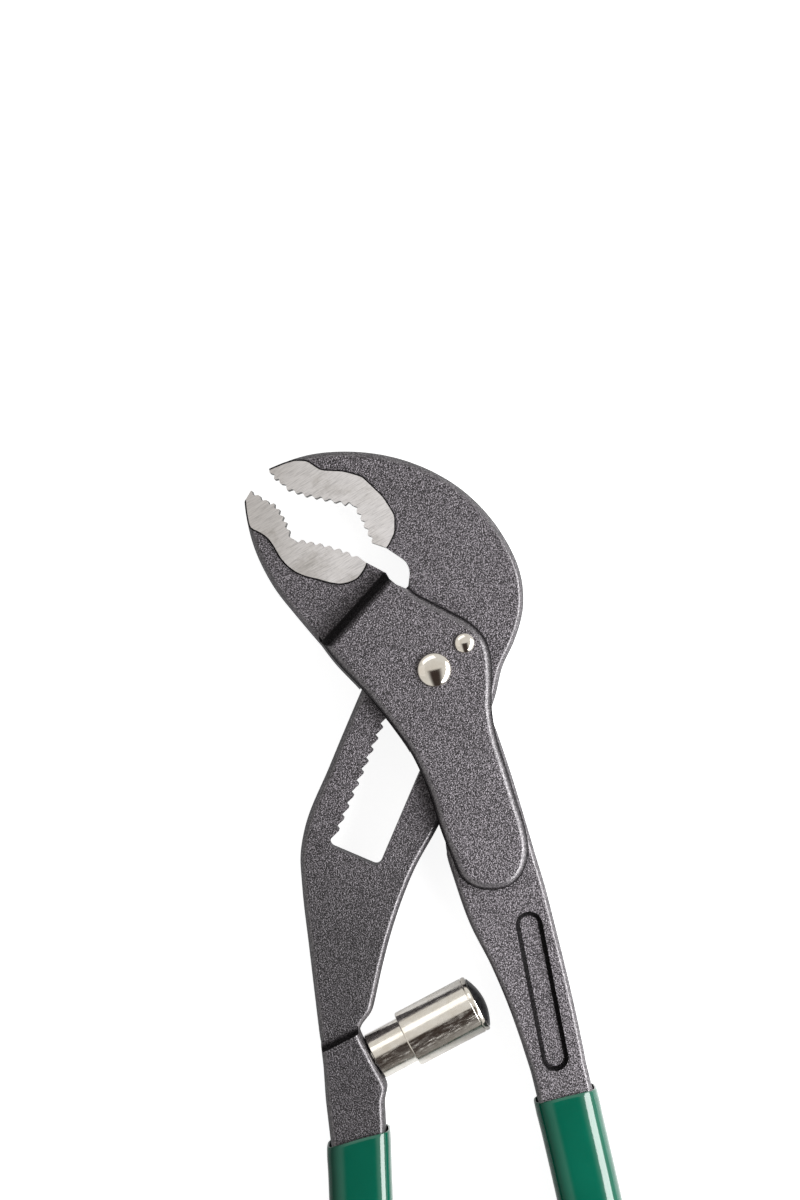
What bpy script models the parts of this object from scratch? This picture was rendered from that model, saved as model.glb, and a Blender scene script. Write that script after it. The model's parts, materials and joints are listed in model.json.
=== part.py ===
"""Water pump pliers with a racked slot joint and a sprung plunger between the handles.

The pliers lie flat, front face up: +X to the right, +Y from the handles to the
jaws, +Z out of the front face. Outlines are drawn in millimetres from the main
pivot, and the whole tool is then moved so that the middle of its underside is
the origin.
"""

import math

import bmesh
import bpy
from mathutils import Matrix, Vector
from mathutils.geometry import interpolate_bezier

MM = 0.001
TOOL = "water_pump_pliers"

# Fits
GAP = 0.3                  # between pieces that touch or slide
FIT_GAP = 0.2              # between pieces that are pressed on each other

# Forgings
BAR_THICKNESS = 8.0        # upper jaw, and the bar that passes through the joint
JAW_THICKNESS = 8.0        # lower jaw
EAR_WALL = 1.6             # each ear of the right handle, beside the bar
CHEEK_WALL = 1.8           # each cheek of the lower jaw, over an ear
HANDLE_WIDTH = 11.4
HANDLE_REACH = 204.4       # pivot to the handle ends, along Y
LEFT_END_X = -14.4         # middle of the left handle's end
RIGHT_END_X = 47.6         # middle of the right handle's end
FORGED_EDGE = 0.9          # rounding of the cheeks and handles
JAW_TOOTH_PITCH = 2.2
JAW_TOOTH_DEPTH = 0.5
RECESS_LENGTH = 32.0       # long hollow on the front of the right handle
RECESS_WIDTH = 5.2
RECESS_DEPTH = 0.8
RECESS_MIDDLE = (21.4, -63.8)
RECESS_LEAN = math.radians(11.1)

# Slot in the bar: "along" runs up the slot, "across" runs to its right
SLOT_LEAN = math.radians(23.1)
BAR_LEFT = 11.6            # slot axis to the bar's left edge
BAR_RIGHT = 13.3           # slot axis to the bar's right edge
RACK_TIP = 4.8             # slot axis to the tips of the rack teeth
RACK_DEPTH = 0.86
RACK_PITCH = 2.471
RACK_STEEP = 0.43          # length along the slot of a tooth's steep face
RACK_TEETH = 14
RACK_TOP = -4.8            # highest tooth tip, along the slot
SLOT_RIGHT = 5.4           # slot axis to the plain wall
SLOT_TOP = 9.4
SLOT_END_GAP = 1.1         # lowest tooth to the bottom of the slot
SLOT_CORNER = 1.2

# Motion that the box joint leaves room for
SQUEEZE = math.radians(5.5)        # jaw and handle together, towards the upper jaw
SWING = math.radians(24.0)         # handle alone, away from the plunger
SWING_PLAY = math.radians(0.5)     # jaw the other way
ENGAGE = math.radians(6.5)

# Pins
PIVOT_DIAMETER = 5.0
PIVOT_OVERHANG = 0.9       # head past the shank
PIVOT_RIM = 0.3            # straight side of the head
PIVOT_DOME = 1.0           # rise of the head past its rim
GUIDE_DIAMETER = 2.4
GUIDE_OVERHANG = 0.8
GUIDE_RIM = 0.25
GUIDE_DOME = 0.75
GUIDE_ACROSS = 3.4
GUIDE_ALONG = 7.2
EYE_CLEAR = 0.45           # guide pin to the handle's eye

# Pawl
PAWL_TEETH = 2
PAWL_FIRST_GULLET = 1      # rack gullet that the upper pawl tooth drops into
PAWL_BACK = 1.2            # slot axis to the back of the arm, when engaged
PAWL_END = 0.7             # arm past its last tooth
PAWL_CORNER = 1.0
PAWL_HUB_OPEN = math.radians(40.0)    # half of the hub's side that faces the rack
LEAF_THICKNESS = 0.4
LEAF_WIDTH = 3.0
LEAF_TOP = -6.0            # upper foot, along the slot
LEAF_FOOT = -12.5          # lower foot, clear of the slot's end at the last step

# Grips
GRIP_WALL = 0.7
GRIP_END = 2.0             # wall at the closed end
GRIP_EDGE = 1.2            # rounding of the long edges
LEFT_GRIP_START = 8.0      # along the handle path, to the grip's mouth
RIGHT_GRIP_START = 6.0

# Plunger, measured from its seat on the left handle along its own axis
PLUNGER_SEAT = (-11.9, -77.6)
PLUNGER_LEAN = math.radians(28.0)
SEAT_MARGIN = 1.35         # flat seat past the tube
STEM_DIAMETER = 5.0
STEM_DEPTH = 6.0
TUBE_DIAMETER = 9.5
TUBE_WALL = 1.1
COLLAR_STEP = 0.35         # collar at the tube's end, past the tube
COLLAR_LENGTH = 1.5
SLEEVE_START = 7.5         # seat to the sleeve's near end
SLEEVE_LENGTH = 14.7
SLEEVE_WALL = 0.55
LIP_LENGTH = 1.5
CAP_THICKNESS = 0.9
BUMPER_STEP = 0.75         # rim of the cap left round the bumper
BUMPER_RIM = 0.2           # straight side under the dome
BUMPER_DOME = 1.0
BUMPER_STEM = 3.0
COIL_WIRE = 0.8
COIL_CURLS = 7
COIL_FLOOR = 1.0           # solid end of the tube under the coil

# Drawing
CURVE_STEP = 2.2           # spacing of points on smooth outlines
ROUND_SIDES = 24
COIL_POINTS = 9            # points on each curl

BAR_HALF = BAR_THICKNESS / 2
JAW_HALF = JAW_THICKNESS / 2
WAY_HALF = BAR_HALF + GAP
HANDLE_HALF = WAY_HALF + EAR_WALL
POCKET_HALF = HANDLE_HALF + GAP
CHEEK_OUTER = POCKET_HALF + CHEEK_WALL
EYE_RADIUS = math.hypot(GUIDE_ACROSS, GUIDE_ALONG) - GUIDE_DIAMETER / 2 - EYE_CLEAR
RACK_ROOT = RACK_TIP + RACK_DEPTH
SLOT_BOTTOM = RACK_TOP - RACK_TEETH * RACK_PITCH - SLOT_END_GAP
HUB_RADIUS = RACK_TIP - GAP


def slot_point(across, along):
    """Outline point given across and along the slot."""
    x = across * math.cos(SLOT_LEAN) + along * math.sin(SLOT_LEAN)
    y = along * math.cos(SLOT_LEAN) - across * math.sin(SLOT_LEAN)
    return Vector((x, y))


def turned_point(point, angle):
    """Outline point turned about the pivot, counter-clockwise."""
    turn = Matrix.Rotation(angle, 2)
    return turn @ Vector(point)


def smooth_run(points):
    """Points of a smooth curve through the given ones, about CURVE_STEP apart."""
    spots = [Vector(point) for point in points]
    chords = [(b - a).length for a, b in zip(spots, spots[1:])]
    slopes = [(b - a) / chord for a, b, chord in zip(spots, spots[1:], chords)]
    tangents = [slopes[0]]
    for i in range(1, len(slopes)):
        mixed = slopes[i - 1] * chords[i] + slopes[i] * chords[i - 1]
        tangents.append(mixed / (chords[i - 1] + chords[i]))
    tangents.append(slopes[-1])
    run = [spots[0]]
    for i, chord in enumerate(chords):
        steps = max(1, round(chord / CURVE_STEP))
        near = spots[i] + tangents[i] * chord / 3
        far = spots[i + 1] - tangents[i + 1] * chord / 3
        run += interpolate_bezier(spots[i], near, far, spots[i + 1], steps + 1)[1:]
    return run


def toothed_run(points):
    """Jaw teeth along the given points, cut to the right of the direction of travel."""
    run = []
    for start, end in zip(points, points[1:]):
        start = Vector(start)
        end = Vector(end)
        count = round((end - start).length / JAW_TOOTH_PITCH)
        step = (end - start) / count
        inward = Vector((step.y, -step.x)).normalized() * JAW_TOOTH_DEPTH
        for i in range(count):
            run.append(start + step * i)
            run.append(start + step * (i + 0.5) + inward)
    return run + [end]


def arc_run(centre, radius, start, end, steps):
    """Points on an arc between two angles."""
    run = []
    for i in range(steps + 1):
        angle = start + (end - start) * i / steps
        run.append(Vector(centre) + radius * Vector((math.cos(angle), math.sin(angle))))
    return run


def tangent_angle(point, radius, side):
    """Angle on a circle round the pivot where a line from the point touches it."""
    spot = Vector(point)
    return math.atan2(spot.y, spot.x) + side * math.acos(radius / spot.length)


def handle_path(start, bend, end_x):
    """Middle line of a handle's lower part, from start to its end."""
    end = Vector((end_x, -HANDLE_REACH + HANDLE_WIDTH / 2))
    start = Vector(start)
    bend = Vector(bend)
    near = start + (bend - start) * 2 / 3
    far = end + (bend - end) * 2 / 3
    steps = round((end - start).length / (4 * CURVE_STEP))
    return interpolate_bezier(start, near, far, end, steps + 1)


def path_from(path, distance):
    """The part of a path that lies past a distance along it."""
    rest = list(path)
    while (rest[1] - rest[0]).length < distance:
        distance -= (rest[1] - rest[0]).length
        rest.pop(0)
    rest[0] = rest[0] + (rest[1] - rest[0]).normalized() * distance
    return rest


def ribbon(path, half):
    """Outline of a strip along a path with a round end: down its right side and up its left."""
    right = []
    left = []
    for i, spot in enumerate(path):
        ahead = path[min(i + 1, len(path) - 1)]
        behind = path[max(i - 1, 0)]
        along = (ahead - behind).normalized()
        side = Vector((-along.y, along.x)) * half
        right.append(spot + side)
        left.append(spot - side)
    end_angle = math.atan2(side.y, side.x)
    end = arc_run(path[-1], half, end_angle, end_angle - math.pi, 8)
    return right + end[1:-1] + left[::-1]


LEFT_PATH = handle_path((-15.4, -86.0), (-12.6, -140.0), LEFT_END_X)
RIGHT_PATH = handle_path((24.8, -79.2), (41.0, -145.0), RIGHT_END_X)


def clear_scene():
    """Remove what the scene holds and make the two collections."""
    for old in list(bpy.data.objects):
        bpy.data.objects.remove(old, do_unlink=True)
    for name in (TOOL, "cutters"):
        bpy.context.scene.collection.children.link(bpy.data.collections.new(name))


def empty(name, parent=None, place=(0.0, 0.0), turn=None):
    """A parent empty on an axis of the tool, placed in millimetres."""
    axis = bpy.data.objects.new(name, None)
    bpy.data.collections[TOOL].objects.link(axis)
    axis.parent = parent
    axis.empty_display_size = 0.01
    axis.location = (place[0] * MM, place[1] * MM, 0.0)
    if turn is not None:
        axis.rotation_euler = turn
    return axis


def add_mesh(name, mesh, parent):
    """A piece of the tool."""
    piece = bpy.data.objects.new(name, mesh)
    bpy.data.collections[TOOL].objects.link(piece)
    piece.parent = parent
    return piece


def as_helper(shape):
    """Turn a piece into a cutter that isn't part of the tool."""
    bpy.data.collections[TOOL].objects.unlink(shape)
    bpy.data.collections["cutters"].objects.link(shape)
    shape.hide_render = True
    shape.display_type = 'WIRE'
    return shape


def curve_to_mesh(curve, name):
    """Closed mesh of a curve, with its caps welded on."""
    shape = bpy.data.objects.new(name, curve)
    bpy.context.scene.collection.objects.link(shape)
    graph = bpy.context.evaluated_depsgraph_get()
    mesh = bpy.data.meshes.new_from_object(shape.evaluated_get(graph))
    bpy.data.objects.remove(shape, do_unlink=True)
    body = bmesh.new()
    body.from_mesh(mesh)
    bmesh.ops.remove_doubles(body, verts=body.verts, dist=0.001 * MM)
    bmesh.ops.recalc_face_normals(body, faces=body.faces)
    body.to_mesh(mesh)
    body.free()
    mesh.name = name
    return mesh


def plate(name, outline, low, high, parent, edge=0.0):
    """A flat piece between two heights, with its outer edges rounded by edge."""
    curve = bpy.data.curves.new(name, 'CURVE')
    curve.dimensions = '2D'
    curve.fill_mode = 'BOTH'
    curve.extrude = ((high - low) / 2 - edge) * MM
    curve.bevel_depth = edge * MM
    curve.bevel_resolution = 1
    curve.offset = -edge * MM
    spline = curve.splines.new('POLY')
    spline.points.add(len(outline) - 1)
    for point, spot in zip(spline.points, outline):
        point.co = (spot[0] * MM, spot[1] * MM, 0.0, 1.0)
    spline.use_cyclic_u = True
    mesh = curve_to_mesh(curve, name)
    mesh.transform(Matrix.Translation((0.0, 0.0, (low + high) / 2 * MM)))
    return add_mesh(name, mesh, parent)


def turned(name, profile, parent, place=(0.0, 0.0), closed=False):
    """A turned piece: its profile is (radius, height), down the outer side."""
    mesh = bpy.data.meshes.new(name)
    points = [(radius * MM, 0.0, height * MM) for radius, height in profile]
    edges = [(i, i + 1) for i in range(len(points) - 1)]
    if closed:
        edges.append((len(points) - 1, 0))
    mesh.from_pydata(points, edges, [])
    piece = add_mesh(name, mesh, parent)
    piece.location = (place[0] * MM, place[1] * MM, 0.0)
    screw = piece.modifiers.new("turn", 'SCREW')
    screw.steps = ROUND_SIDES
    screw.render_steps = ROUND_SIDES
    screw.use_merge_vertices = True
    screw.merge_threshold = 0.001 * MM
    screw.use_smooth_shade = True
    return piece


def ring(name, outer, inner, low, high, parent):
    """A plain ring."""
    profile = [(outer, high), (outer, low), (inner, low), (inner, high)]
    return turned(name, profile, parent, closed=True)


def rod(name, diameter, low, high, parent, place=(0.0, 0.0)):
    """A plain round bar."""
    profile = [(0.0, high), (diameter / 2, high), (diameter / 2, low), (0.0, low)]
    return turned(name, profile, parent, place)


def combine(piece, other, operation):
    """Cut a piece with another shape, or join that shape to it."""
    boolean = piece.modifiers.new(operation.lower(), 'BOOLEAN')
    boolean.operation = operation
    boolean.object = as_helper(other)
    boolean.solver = 'EXACT'


def finish(piece, colour, roughness, metallic):
    """Give a piece its own material."""
    material = bpy.data.materials.new(piece.name)
    material.use_nodes = True
    shader = material.node_tree.nodes["Principled BSDF"]
    shader.inputs["Base Color"].default_value = (*colour, 1.0)
    shader.inputs["Roughness"].default_value = roughness
    shader.inputs["Metallic"].default_value = metallic
    piece.data.materials.append(material)


def black_oxide(piece):
    """Blasted and blackened forged steel."""
    finish(piece, (0.075, 0.072, 0.078), 0.55, 0.7)


def bright_nickel(piece):
    """Polished nickel plate."""
    finish(piece, (0.78, 0.75, 0.71), 0.18, 1.0)


def hardened_steel(piece):
    """Plain ground steel."""
    finish(piece, (0.35, 0.35, 0.36), 0.35, 1.0)


def green_vinyl(piece):
    """Glossy dipped vinyl."""
    finish(piece, (0.0, 0.122, 0.07), 0.2, 0.0)


def rack_outline():
    """Slot outline: up its plain side, over the top and down the toothed side."""
    bottom_right = (SLOT_RIGHT - SLOT_CORNER, SLOT_BOTTOM + SLOT_CORNER)
    top_right = (SLOT_RIGHT - SLOT_CORNER, SLOT_TOP - SLOT_CORNER)
    top_left = (SLOT_CORNER - RACK_ROOT, SLOT_TOP - SLOT_CORNER)
    quarter = math.pi / 2
    run = arc_run(bottom_right, SLOT_CORNER, -quarter, 0.0, 4)
    run += arc_run(top_right, SLOT_CORNER, 0.0, quarter, 4)
    run += arc_run(top_left, SLOT_CORNER, quarter, 2 * quarter, 4)
    run.append((-RACK_ROOT, RACK_TOP + RACK_STEEP))
    for i in range(RACK_TEETH):
        tip = RACK_TOP - i * RACK_PITCH
        run.append((-RACK_TIP, tip))
        run.append((-RACK_ROOT, tip - RACK_PITCH + RACK_STEEP))
    bottom_left = (SLOT_CORNER - RACK_ROOT, SLOT_BOTTOM + SLOT_CORNER)
    run += arc_run(bottom_left, SLOT_CORNER, 2 * quarter, 3 * quarter, 4)
    return [slot_point(*spot) for spot in run]


def upper_jaw_outline():
    """Upper jaw and bar: over the crown, down the right side, up the left and along the bite."""
    crown = [
        (-33.0, 39.2), (-30.8, 40.9), (-26.8, 42.4), (-16.8, 43.5), (-4.8, 41.3),
        (5.2, 36.0), (13.2, 27.0), (17.2, 18.2), (17.7, 13.0), (15.6, 5.2), (13.4, 0.6),
        slot_point(BAR_RIGHT, 0.0), slot_point(BAR_RIGHT, -14.0),
        slot_point(BAR_RIGHT - 0.4, -28.7), slot_point(BAR_RIGHT - 1.5, -38.3),
        (-6.2, -44.8), (-8.7, -52.2), (-10.8, -60.2), (-12.0, -66.2), (-12.6, -68.8),
    ]
    notch = [(-15.2, -71.2), (-14.6, -80.0), (-20.0, -80.0)]
    left_side = [(-22.9, -74.6), (-24.9, -56.2), (-26.4, -43.0), (-26.7, -36.8), (-25.9, -32.0)]
    throat = [
        slot_point(-BAR_LEFT, 13.4), (-4.8, 19.4), (-5.5, 21.1), (-6.8, 22.2), (-9.4, 23.9),
    ]
    bar_edge = [slot_point(-BAR_LEFT, -34.0)]
    bite = toothed_run([(-12.3, 25.3), (-16.3, 32.8), (-29.2, 35.7)])
    return (smooth_run(crown) + notch + smooth_run(left_side + bar_edge)[:-1] + bar_edge
            + smooth_run(throat) + bite)


def left_handle_outline():
    """Thick lower part of the left handle, with the plunger's flat seat."""
    lean = Vector((math.sin(PLUNGER_LEAN), -math.cos(PLUNGER_LEAN)))
    seat = Vector(PLUNGER_SEAT)
    half = TUBE_DIAMETER / 2 + SEAT_MARGIN
    top = [(-23.0, -75.0), seat - lean * half, seat + lean * half]
    return top + ribbon(LEFT_PATH, HANDLE_WIDTH / 2)


def lower_jaw_outline():
    """Lower jaw: along the bite to the tip and back down the outer edge."""
    throat = [(-7.0, 16.5), (-8.6, 17.8), (-9.4, 19.4)]
    bite = toothed_run([(-30.9, 31.9), (-28.0, 25.8), (-21.4, 25.0), (-14.9, 22.4)])[::-1]
    tip_edge = [(-31.8, 33.0), (-33.2, 33.7)]
    tip = [(-36.3, 35.6), (-37.3, 33.6), (-37.6, 31.2), (-37.0, 27.8), (-35.8, 23.8), (-33.8, 19.4),
           (-31.4, 15.4), (-28.2, 11.4), (-22.8, 5.0), (-18.4, 0.0)]
    return smooth_run(throat) + [(-13.6, 21.4)] + bite + tip_edge + smooth_run(tip) + [(-8.0, 6.0)]


def cheek_outline():
    """Raised cheeks of the box joint, from the throat round the right side to the jaw."""
    run = [
        (-5.0, 16.1), (-2.8, 15.2), (3.2, 12.1), (7.2, 9.9), (9.2, 8.2), (10.8, 6.0), (11.7, 3.0),
        (12.0, -1.0), (12.0, -8.2), (12.7, -12.4), (14.6, -18.6), (16.8, -25.6), (18.6, -31.4),
        (19.2, -35.2), (18.9, -38.2), (17.6, -41.2), (15.2, -43.4), (11.2, -44.2), (7.2, -43.4),
        (4.8, -41.4), (3.2, -38.0), (0.6, -31.2), (-1.0, -25.6), (-3.0, -20.6), (-4.9, -16.8),
        (-8.2, -12.0), (-14.4, -4.6), (-20.2, 1.6), (-21.9, 4.2),
    ]
    jaw_step = [(-21.6, 5.4), (-9.6, 18.8), (-8.6, 17.8), (-7.0, 16.5)]
    return smooth_run(run) + jaw_step


def right_handle_outline():
    """Right handle from its eye on the main pin to its end."""
    right_side = [(12.4, -12.0), (14.8, -19.0), (18.5, -31.0), (20.2, -36.8), (22.2, -43.4), (24.2, -51.2),
                  (26.2, -59.2), (28.2, -67.8), (29.9, -75.8)]
    left_side = [(17.2, -73.8), (15.2, -68.2), (11.2, -58.8), (7.2, -51.0), (4.2, -42.6), (2.4, -36.4),
                 (2.2, -30.0)]
    leave = tangent_angle(right_side[0], EYE_RADIUS, 1)
    meet = tangent_angle(left_side[-1], EYE_RADIUS, -1)
    eye = arc_run((0.0, 0.0), EYE_RADIUS, meet + 2 * math.pi, leave, 16)
    return (smooth_run(right_side) + ribbon(RIGHT_PATH, HANDLE_WIDTH / 2) + smooth_run(left_side) + eye)


def bar_way_outline(squeeze, swing):
    """Clear way for the bar, over its turn to either side."""
    reach = 80.0
    left = BAR_LEFT + GAP
    middle = (squeeze - swing) / 2
    apex = turned_point(slot_point(-left / math.cos((squeeze + swing) / 2), 0.0), middle)
    upper = apex + turned_point(slot_point(0.0, reach), squeeze)
    lower = apex + turned_point(slot_point(0.0, -reach), -swing)
    right_low = turned_point(slot_point(BAR_RIGHT + GAP, -reach), squeeze)
    right_high = turned_point(slot_point(BAR_RIGHT + GAP, reach), squeeze)
    return [apex, upper, right_high, right_low, lower]


def handle_pocket_outline():
    """Room between the cheeks for the right handle's eye and its swing."""
    reach = 80.0
    radius = EYE_RADIUS + GAP
    leave = tangent_angle((12.4, -12.0), EYE_RADIUS, 1) + SWING
    eye = arc_run((0.0, 0.0), radius, math.radians(200.0), leave, 16)
    right_high = eye[-1] + reach * Vector((math.sin(leave), -math.cos(leave)))
    return eye + [right_high, (reach, -reach), (0.0, -reach), (-3.5, -30.0)]


def recess_outline():
    """Long hollow with round ends on the right handle."""
    half = RECESS_LENGTH / 2 - RECESS_WIDTH / 2
    along = Vector((math.sin(RECESS_LEAN), -math.cos(RECESS_LEAN)))
    centre = Vector(RECESS_MIDDLE)
    radius = RECESS_WIDTH / 2
    run = arc_run(centre + along * half, radius, RECESS_LEAN - math.pi, RECESS_LEAN, 8)
    return run + arc_run(centre - along * half, radius, RECESS_LEAN, RECESS_LEAN + math.pi, 8)


def pawl_outline():
    """Pawl at rest: its hub, and an arm whose teeth lie clear of the rack."""
    flank = RACK_DEPTH / (RACK_PITCH - RACK_STEEP)
    steep = RACK_DEPTH / RACK_STEEP
    clear = GAP / 2
    lift = clear * math.hypot(1.0, flank)
    ahead = clear * math.hypot(1.0, 1.0 / steep)
    tip_back = RACK_PITCH - RACK_STEEP - (lift + ahead * steep) / (flank + steep)
    tip_across = -RACK_TIP + lift - flank * tip_back
    root_back = tip_back + RACK_PITCH * flank / (flank + steep)
    root_across = tip_across + steep * (root_back - tip_back)
    teeth = []
    for i in range(PAWL_TEETH):
        gullet = RACK_TOP - (PAWL_FIRST_GULLET + i) * RACK_PITCH
        teeth.append((root_across, gullet - root_back + RACK_PITCH))
        teeth.append((tip_across, gullet - tip_back))
    arm_end = teeth[-1][1] - PAWL_END
    corner = [(root_across, arm_end + PAWL_CORNER / 5), (root_across + PAWL_CORNER, arm_end)]
    quarter = math.pi / 2
    hub = arc_run((0.0, 0.0), HUB_RADIUS, PAWL_HUB_OPEN - quarter, 3 * quarter - PAWL_HUB_OPEN, 20)
    engaged = hub + teeth + corner + [(PAWL_BACK, arm_end)]
    return [turned_point(slot_point(*spot), ENGAGE) for spot in engaged]


def leaf_outline():
    """Bowed leaf spring between the pawl's back and the plain wall of the slot."""
    low = SLOT_RIGHT - GAP - LEAF_THICKNESS
    bow = [(low, LEAF_TOP), (PAWL_BACK + 2.6, -8.4), (PAWL_BACK + 2.3, -10.0), (low, LEAF_FOOT)]
    spine = smooth_run([slot_point(*spot) for spot in bow])
    face = []
    back = []
    for i, spot in enumerate(spine):
        along = (spine[min(i + 1, len(spine) - 1)] - spine[max(i - 1, 0)]).normalized()
        side = Vector((along.y, -along.x)) * LEAF_THICKNESS / 2
        face.append(spot + side)
        back.append(spot - side)
    return face + back[::-1]


def headed_pin(name, diameter, overhang, rim, dome, parent, place):
    """A pin through both cheeks: domed head in front, flush behind."""
    seat = CHEEK_OUTER + GAP / 2
    radius = diameter / 2 + overhang
    profile = []
    for i in range(6):
        angle = math.pi / 2 * i / 5
        profile.append((radius * math.sin(angle), seat + rim + dome * math.cos(angle)))
    profile += [(radius, seat), (diameter / 2, seat)]
    profile += [(diameter / 2, GAP / 2 - CHEEK_OUTER), (0.0, GAP / 2 - CHEEK_OUTER)]
    pin = turned(name, profile, parent, place)
    bright_nickel(pin)


def build_upper_jaw(parent, plunger_axis):
    """Upper jaw, bar and left handle in one forging."""
    jaw = plate("upper_jaw_handle", upper_jaw_outline(), -BAR_HALF, BAR_HALF, parent)
    handle = plate("left_handle_stock", left_handle_outline(), -HANDLE_HALF, HANDLE_HALF, parent, FORGED_EDGE)
    combine(jaw, handle, 'UNION')
    slot = plate("slot_cutter", rack_outline(), -2 * BAR_HALF, 2 * BAR_HALF, parent)
    combine(jaw, slot, 'DIFFERENCE')
    bore = rod("stem_cutter", STEM_DIAMETER + 2 * FIT_GAP, -STEM_DEPTH - GAP, STEM_DEPTH, plunger_axis)
    combine(jaw, bore, 'DIFFERENCE')
    black_oxide(jaw)


def build_lower_jaw(parent, guide_place):
    """Lower jaw, forked into two cheeks round the bar and the right handle's eye."""
    jaw = plate("lower_jaw", cheek_outline(), -CHEEK_OUTER, CHEEK_OUTER, parent, FORGED_EDGE)
    bite = plate("lower_jaw_stock", lower_jaw_outline(), -JAW_HALF, JAW_HALF, parent)
    combine(jaw, bite, 'UNION')
    way = plate("jaw_way_cutter", bar_way_outline(SQUEEZE, SWING_PLAY), -WAY_HALF, WAY_HALF, parent)
    combine(jaw, way, 'DIFFERENCE')
    pocket = plate("pocket_cutter", handle_pocket_outline(), -POCKET_HALF, POCKET_HALF, parent)
    combine(jaw, pocket, 'DIFFERENCE')
    through = 2 * CHEEK_OUTER
    pivot_hole = rod("pivot_cutter", PIVOT_DIAMETER + 2 * FIT_GAP, -through, through, parent)
    combine(jaw, pivot_hole, 'DIFFERENCE')
    guide_hole = rod("guide_cutter", GUIDE_DIAMETER + 2 * FIT_GAP, -through, through, parent, guide_place)
    combine(jaw, guide_hole, 'DIFFERENCE')
    black_oxide(jaw)


def build_right_handle(parent):
    """Right handle, with an ear on each side of the bar."""
    handle = plate("right_handle", right_handle_outline(), -HANDLE_HALF, HANDLE_HALF, parent, FORGED_EDGE)
    way = plate("handle_way_cutter", bar_way_outline(SQUEEZE, SWING), -WAY_HALF, WAY_HALF, parent)
    combine(handle, way, 'DIFFERENCE')
    recess = plate("recess_cutter", recess_outline(), HANDLE_HALF - RECESS_DEPTH, 2 * HANDLE_HALF, parent)
    combine(handle, recess, 'DIFFERENCE')
    through = 2 * HANDLE_HALF
    eye_hole = rod("eye_cutter", PIVOT_DIAMETER + 2 * GAP, -through, through, parent)
    combine(handle, eye_hole, 'DIFFERENCE')
    black_oxide(handle)


def build_grip(name, path, start, parent):
    """Dipped sleeve on a handle, closed at its end."""
    inner = HANDLE_WIDTH / 2 + FIT_GAP
    outer = inner + GRIP_WALL
    longer = list(path)
    longer[-1] = path[-1] + (path[-1] - path[-2]).normalized() * (GRIP_END - GRIP_WALL)
    height = HANDLE_HALF + FIT_GAP
    grip = plate(name, ribbon(path_from(longer, start), outer), -height - GRIP_WALL, height + GRIP_WALL,
                 parent, GRIP_EDGE)
    pocket = plate(name + "_cutter", ribbon(path_from(path, start - GRIP_END), inner), -height, height, parent)
    combine(grip, pocket, 'DIFFERENCE')
    green_vinyl(grip)


def build_pawl(parent):
    """Half-thickness pawl on the pivot, with its leaf spring."""
    pawl = plate("ratchet_pawl", pawl_outline(), GAP / 2, BAR_HALF, parent)
    bore = rod("pawl_cutter", PIVOT_DIAMETER + 2 * GAP, -BAR_THICKNESS, BAR_THICKNESS, parent)
    combine(pawl, bore, 'DIFFERENCE')
    hardened_steel(pawl)
    middle = (GAP / 2 + BAR_HALF) / 2
    leaf = plate("pawl_spring", leaf_outline(), middle - LEAF_WIDTH / 2, middle + LEAF_WIDTH / 2, parent)
    hardened_steel(leaf)


def build_coil(radius, low, high, parent):
    """Plunger spring: one unbroken wire, whose least gap to itself is printed."""
    low += COIL_WIRE / 2
    high -= COIL_WIRE / 2
    count = COIL_CURLS * COIL_POINTS
    spots = []
    for i in range(count + 1):
        angle = 2 * math.pi * i / COIL_POINTS
        height = low + (high - low) * i / count
        spots.append(Vector((radius * math.cos(angle), radius * math.sin(angle), height)))
    least = min((spots[i] - spots[j]).length for i in range(count + 1)
                for j in range(i + COIL_POINTS // 2, count + 1))
    print("plunger_spring: least gap to itself %.2f mm" % (least - COIL_WIRE))
    curve = bpy.data.curves.new("plunger_spring", 'CURVE')
    curve.dimensions = '3D'
    curve.bevel_depth = COIL_WIRE / 2 * MM
    curve.bevel_resolution = 1
    curve.use_fill_caps = True
    spline = curve.splines.new('POLY')
    spline.points.add(count)
    for point, spot in zip(spline.points, spots):
        point.co = (*(spot * MM), 1.0)
    spring = add_mesh("plunger_spring", curve_to_mesh(curve, "plunger_spring"), parent)
    hardened_steel(spring)


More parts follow.
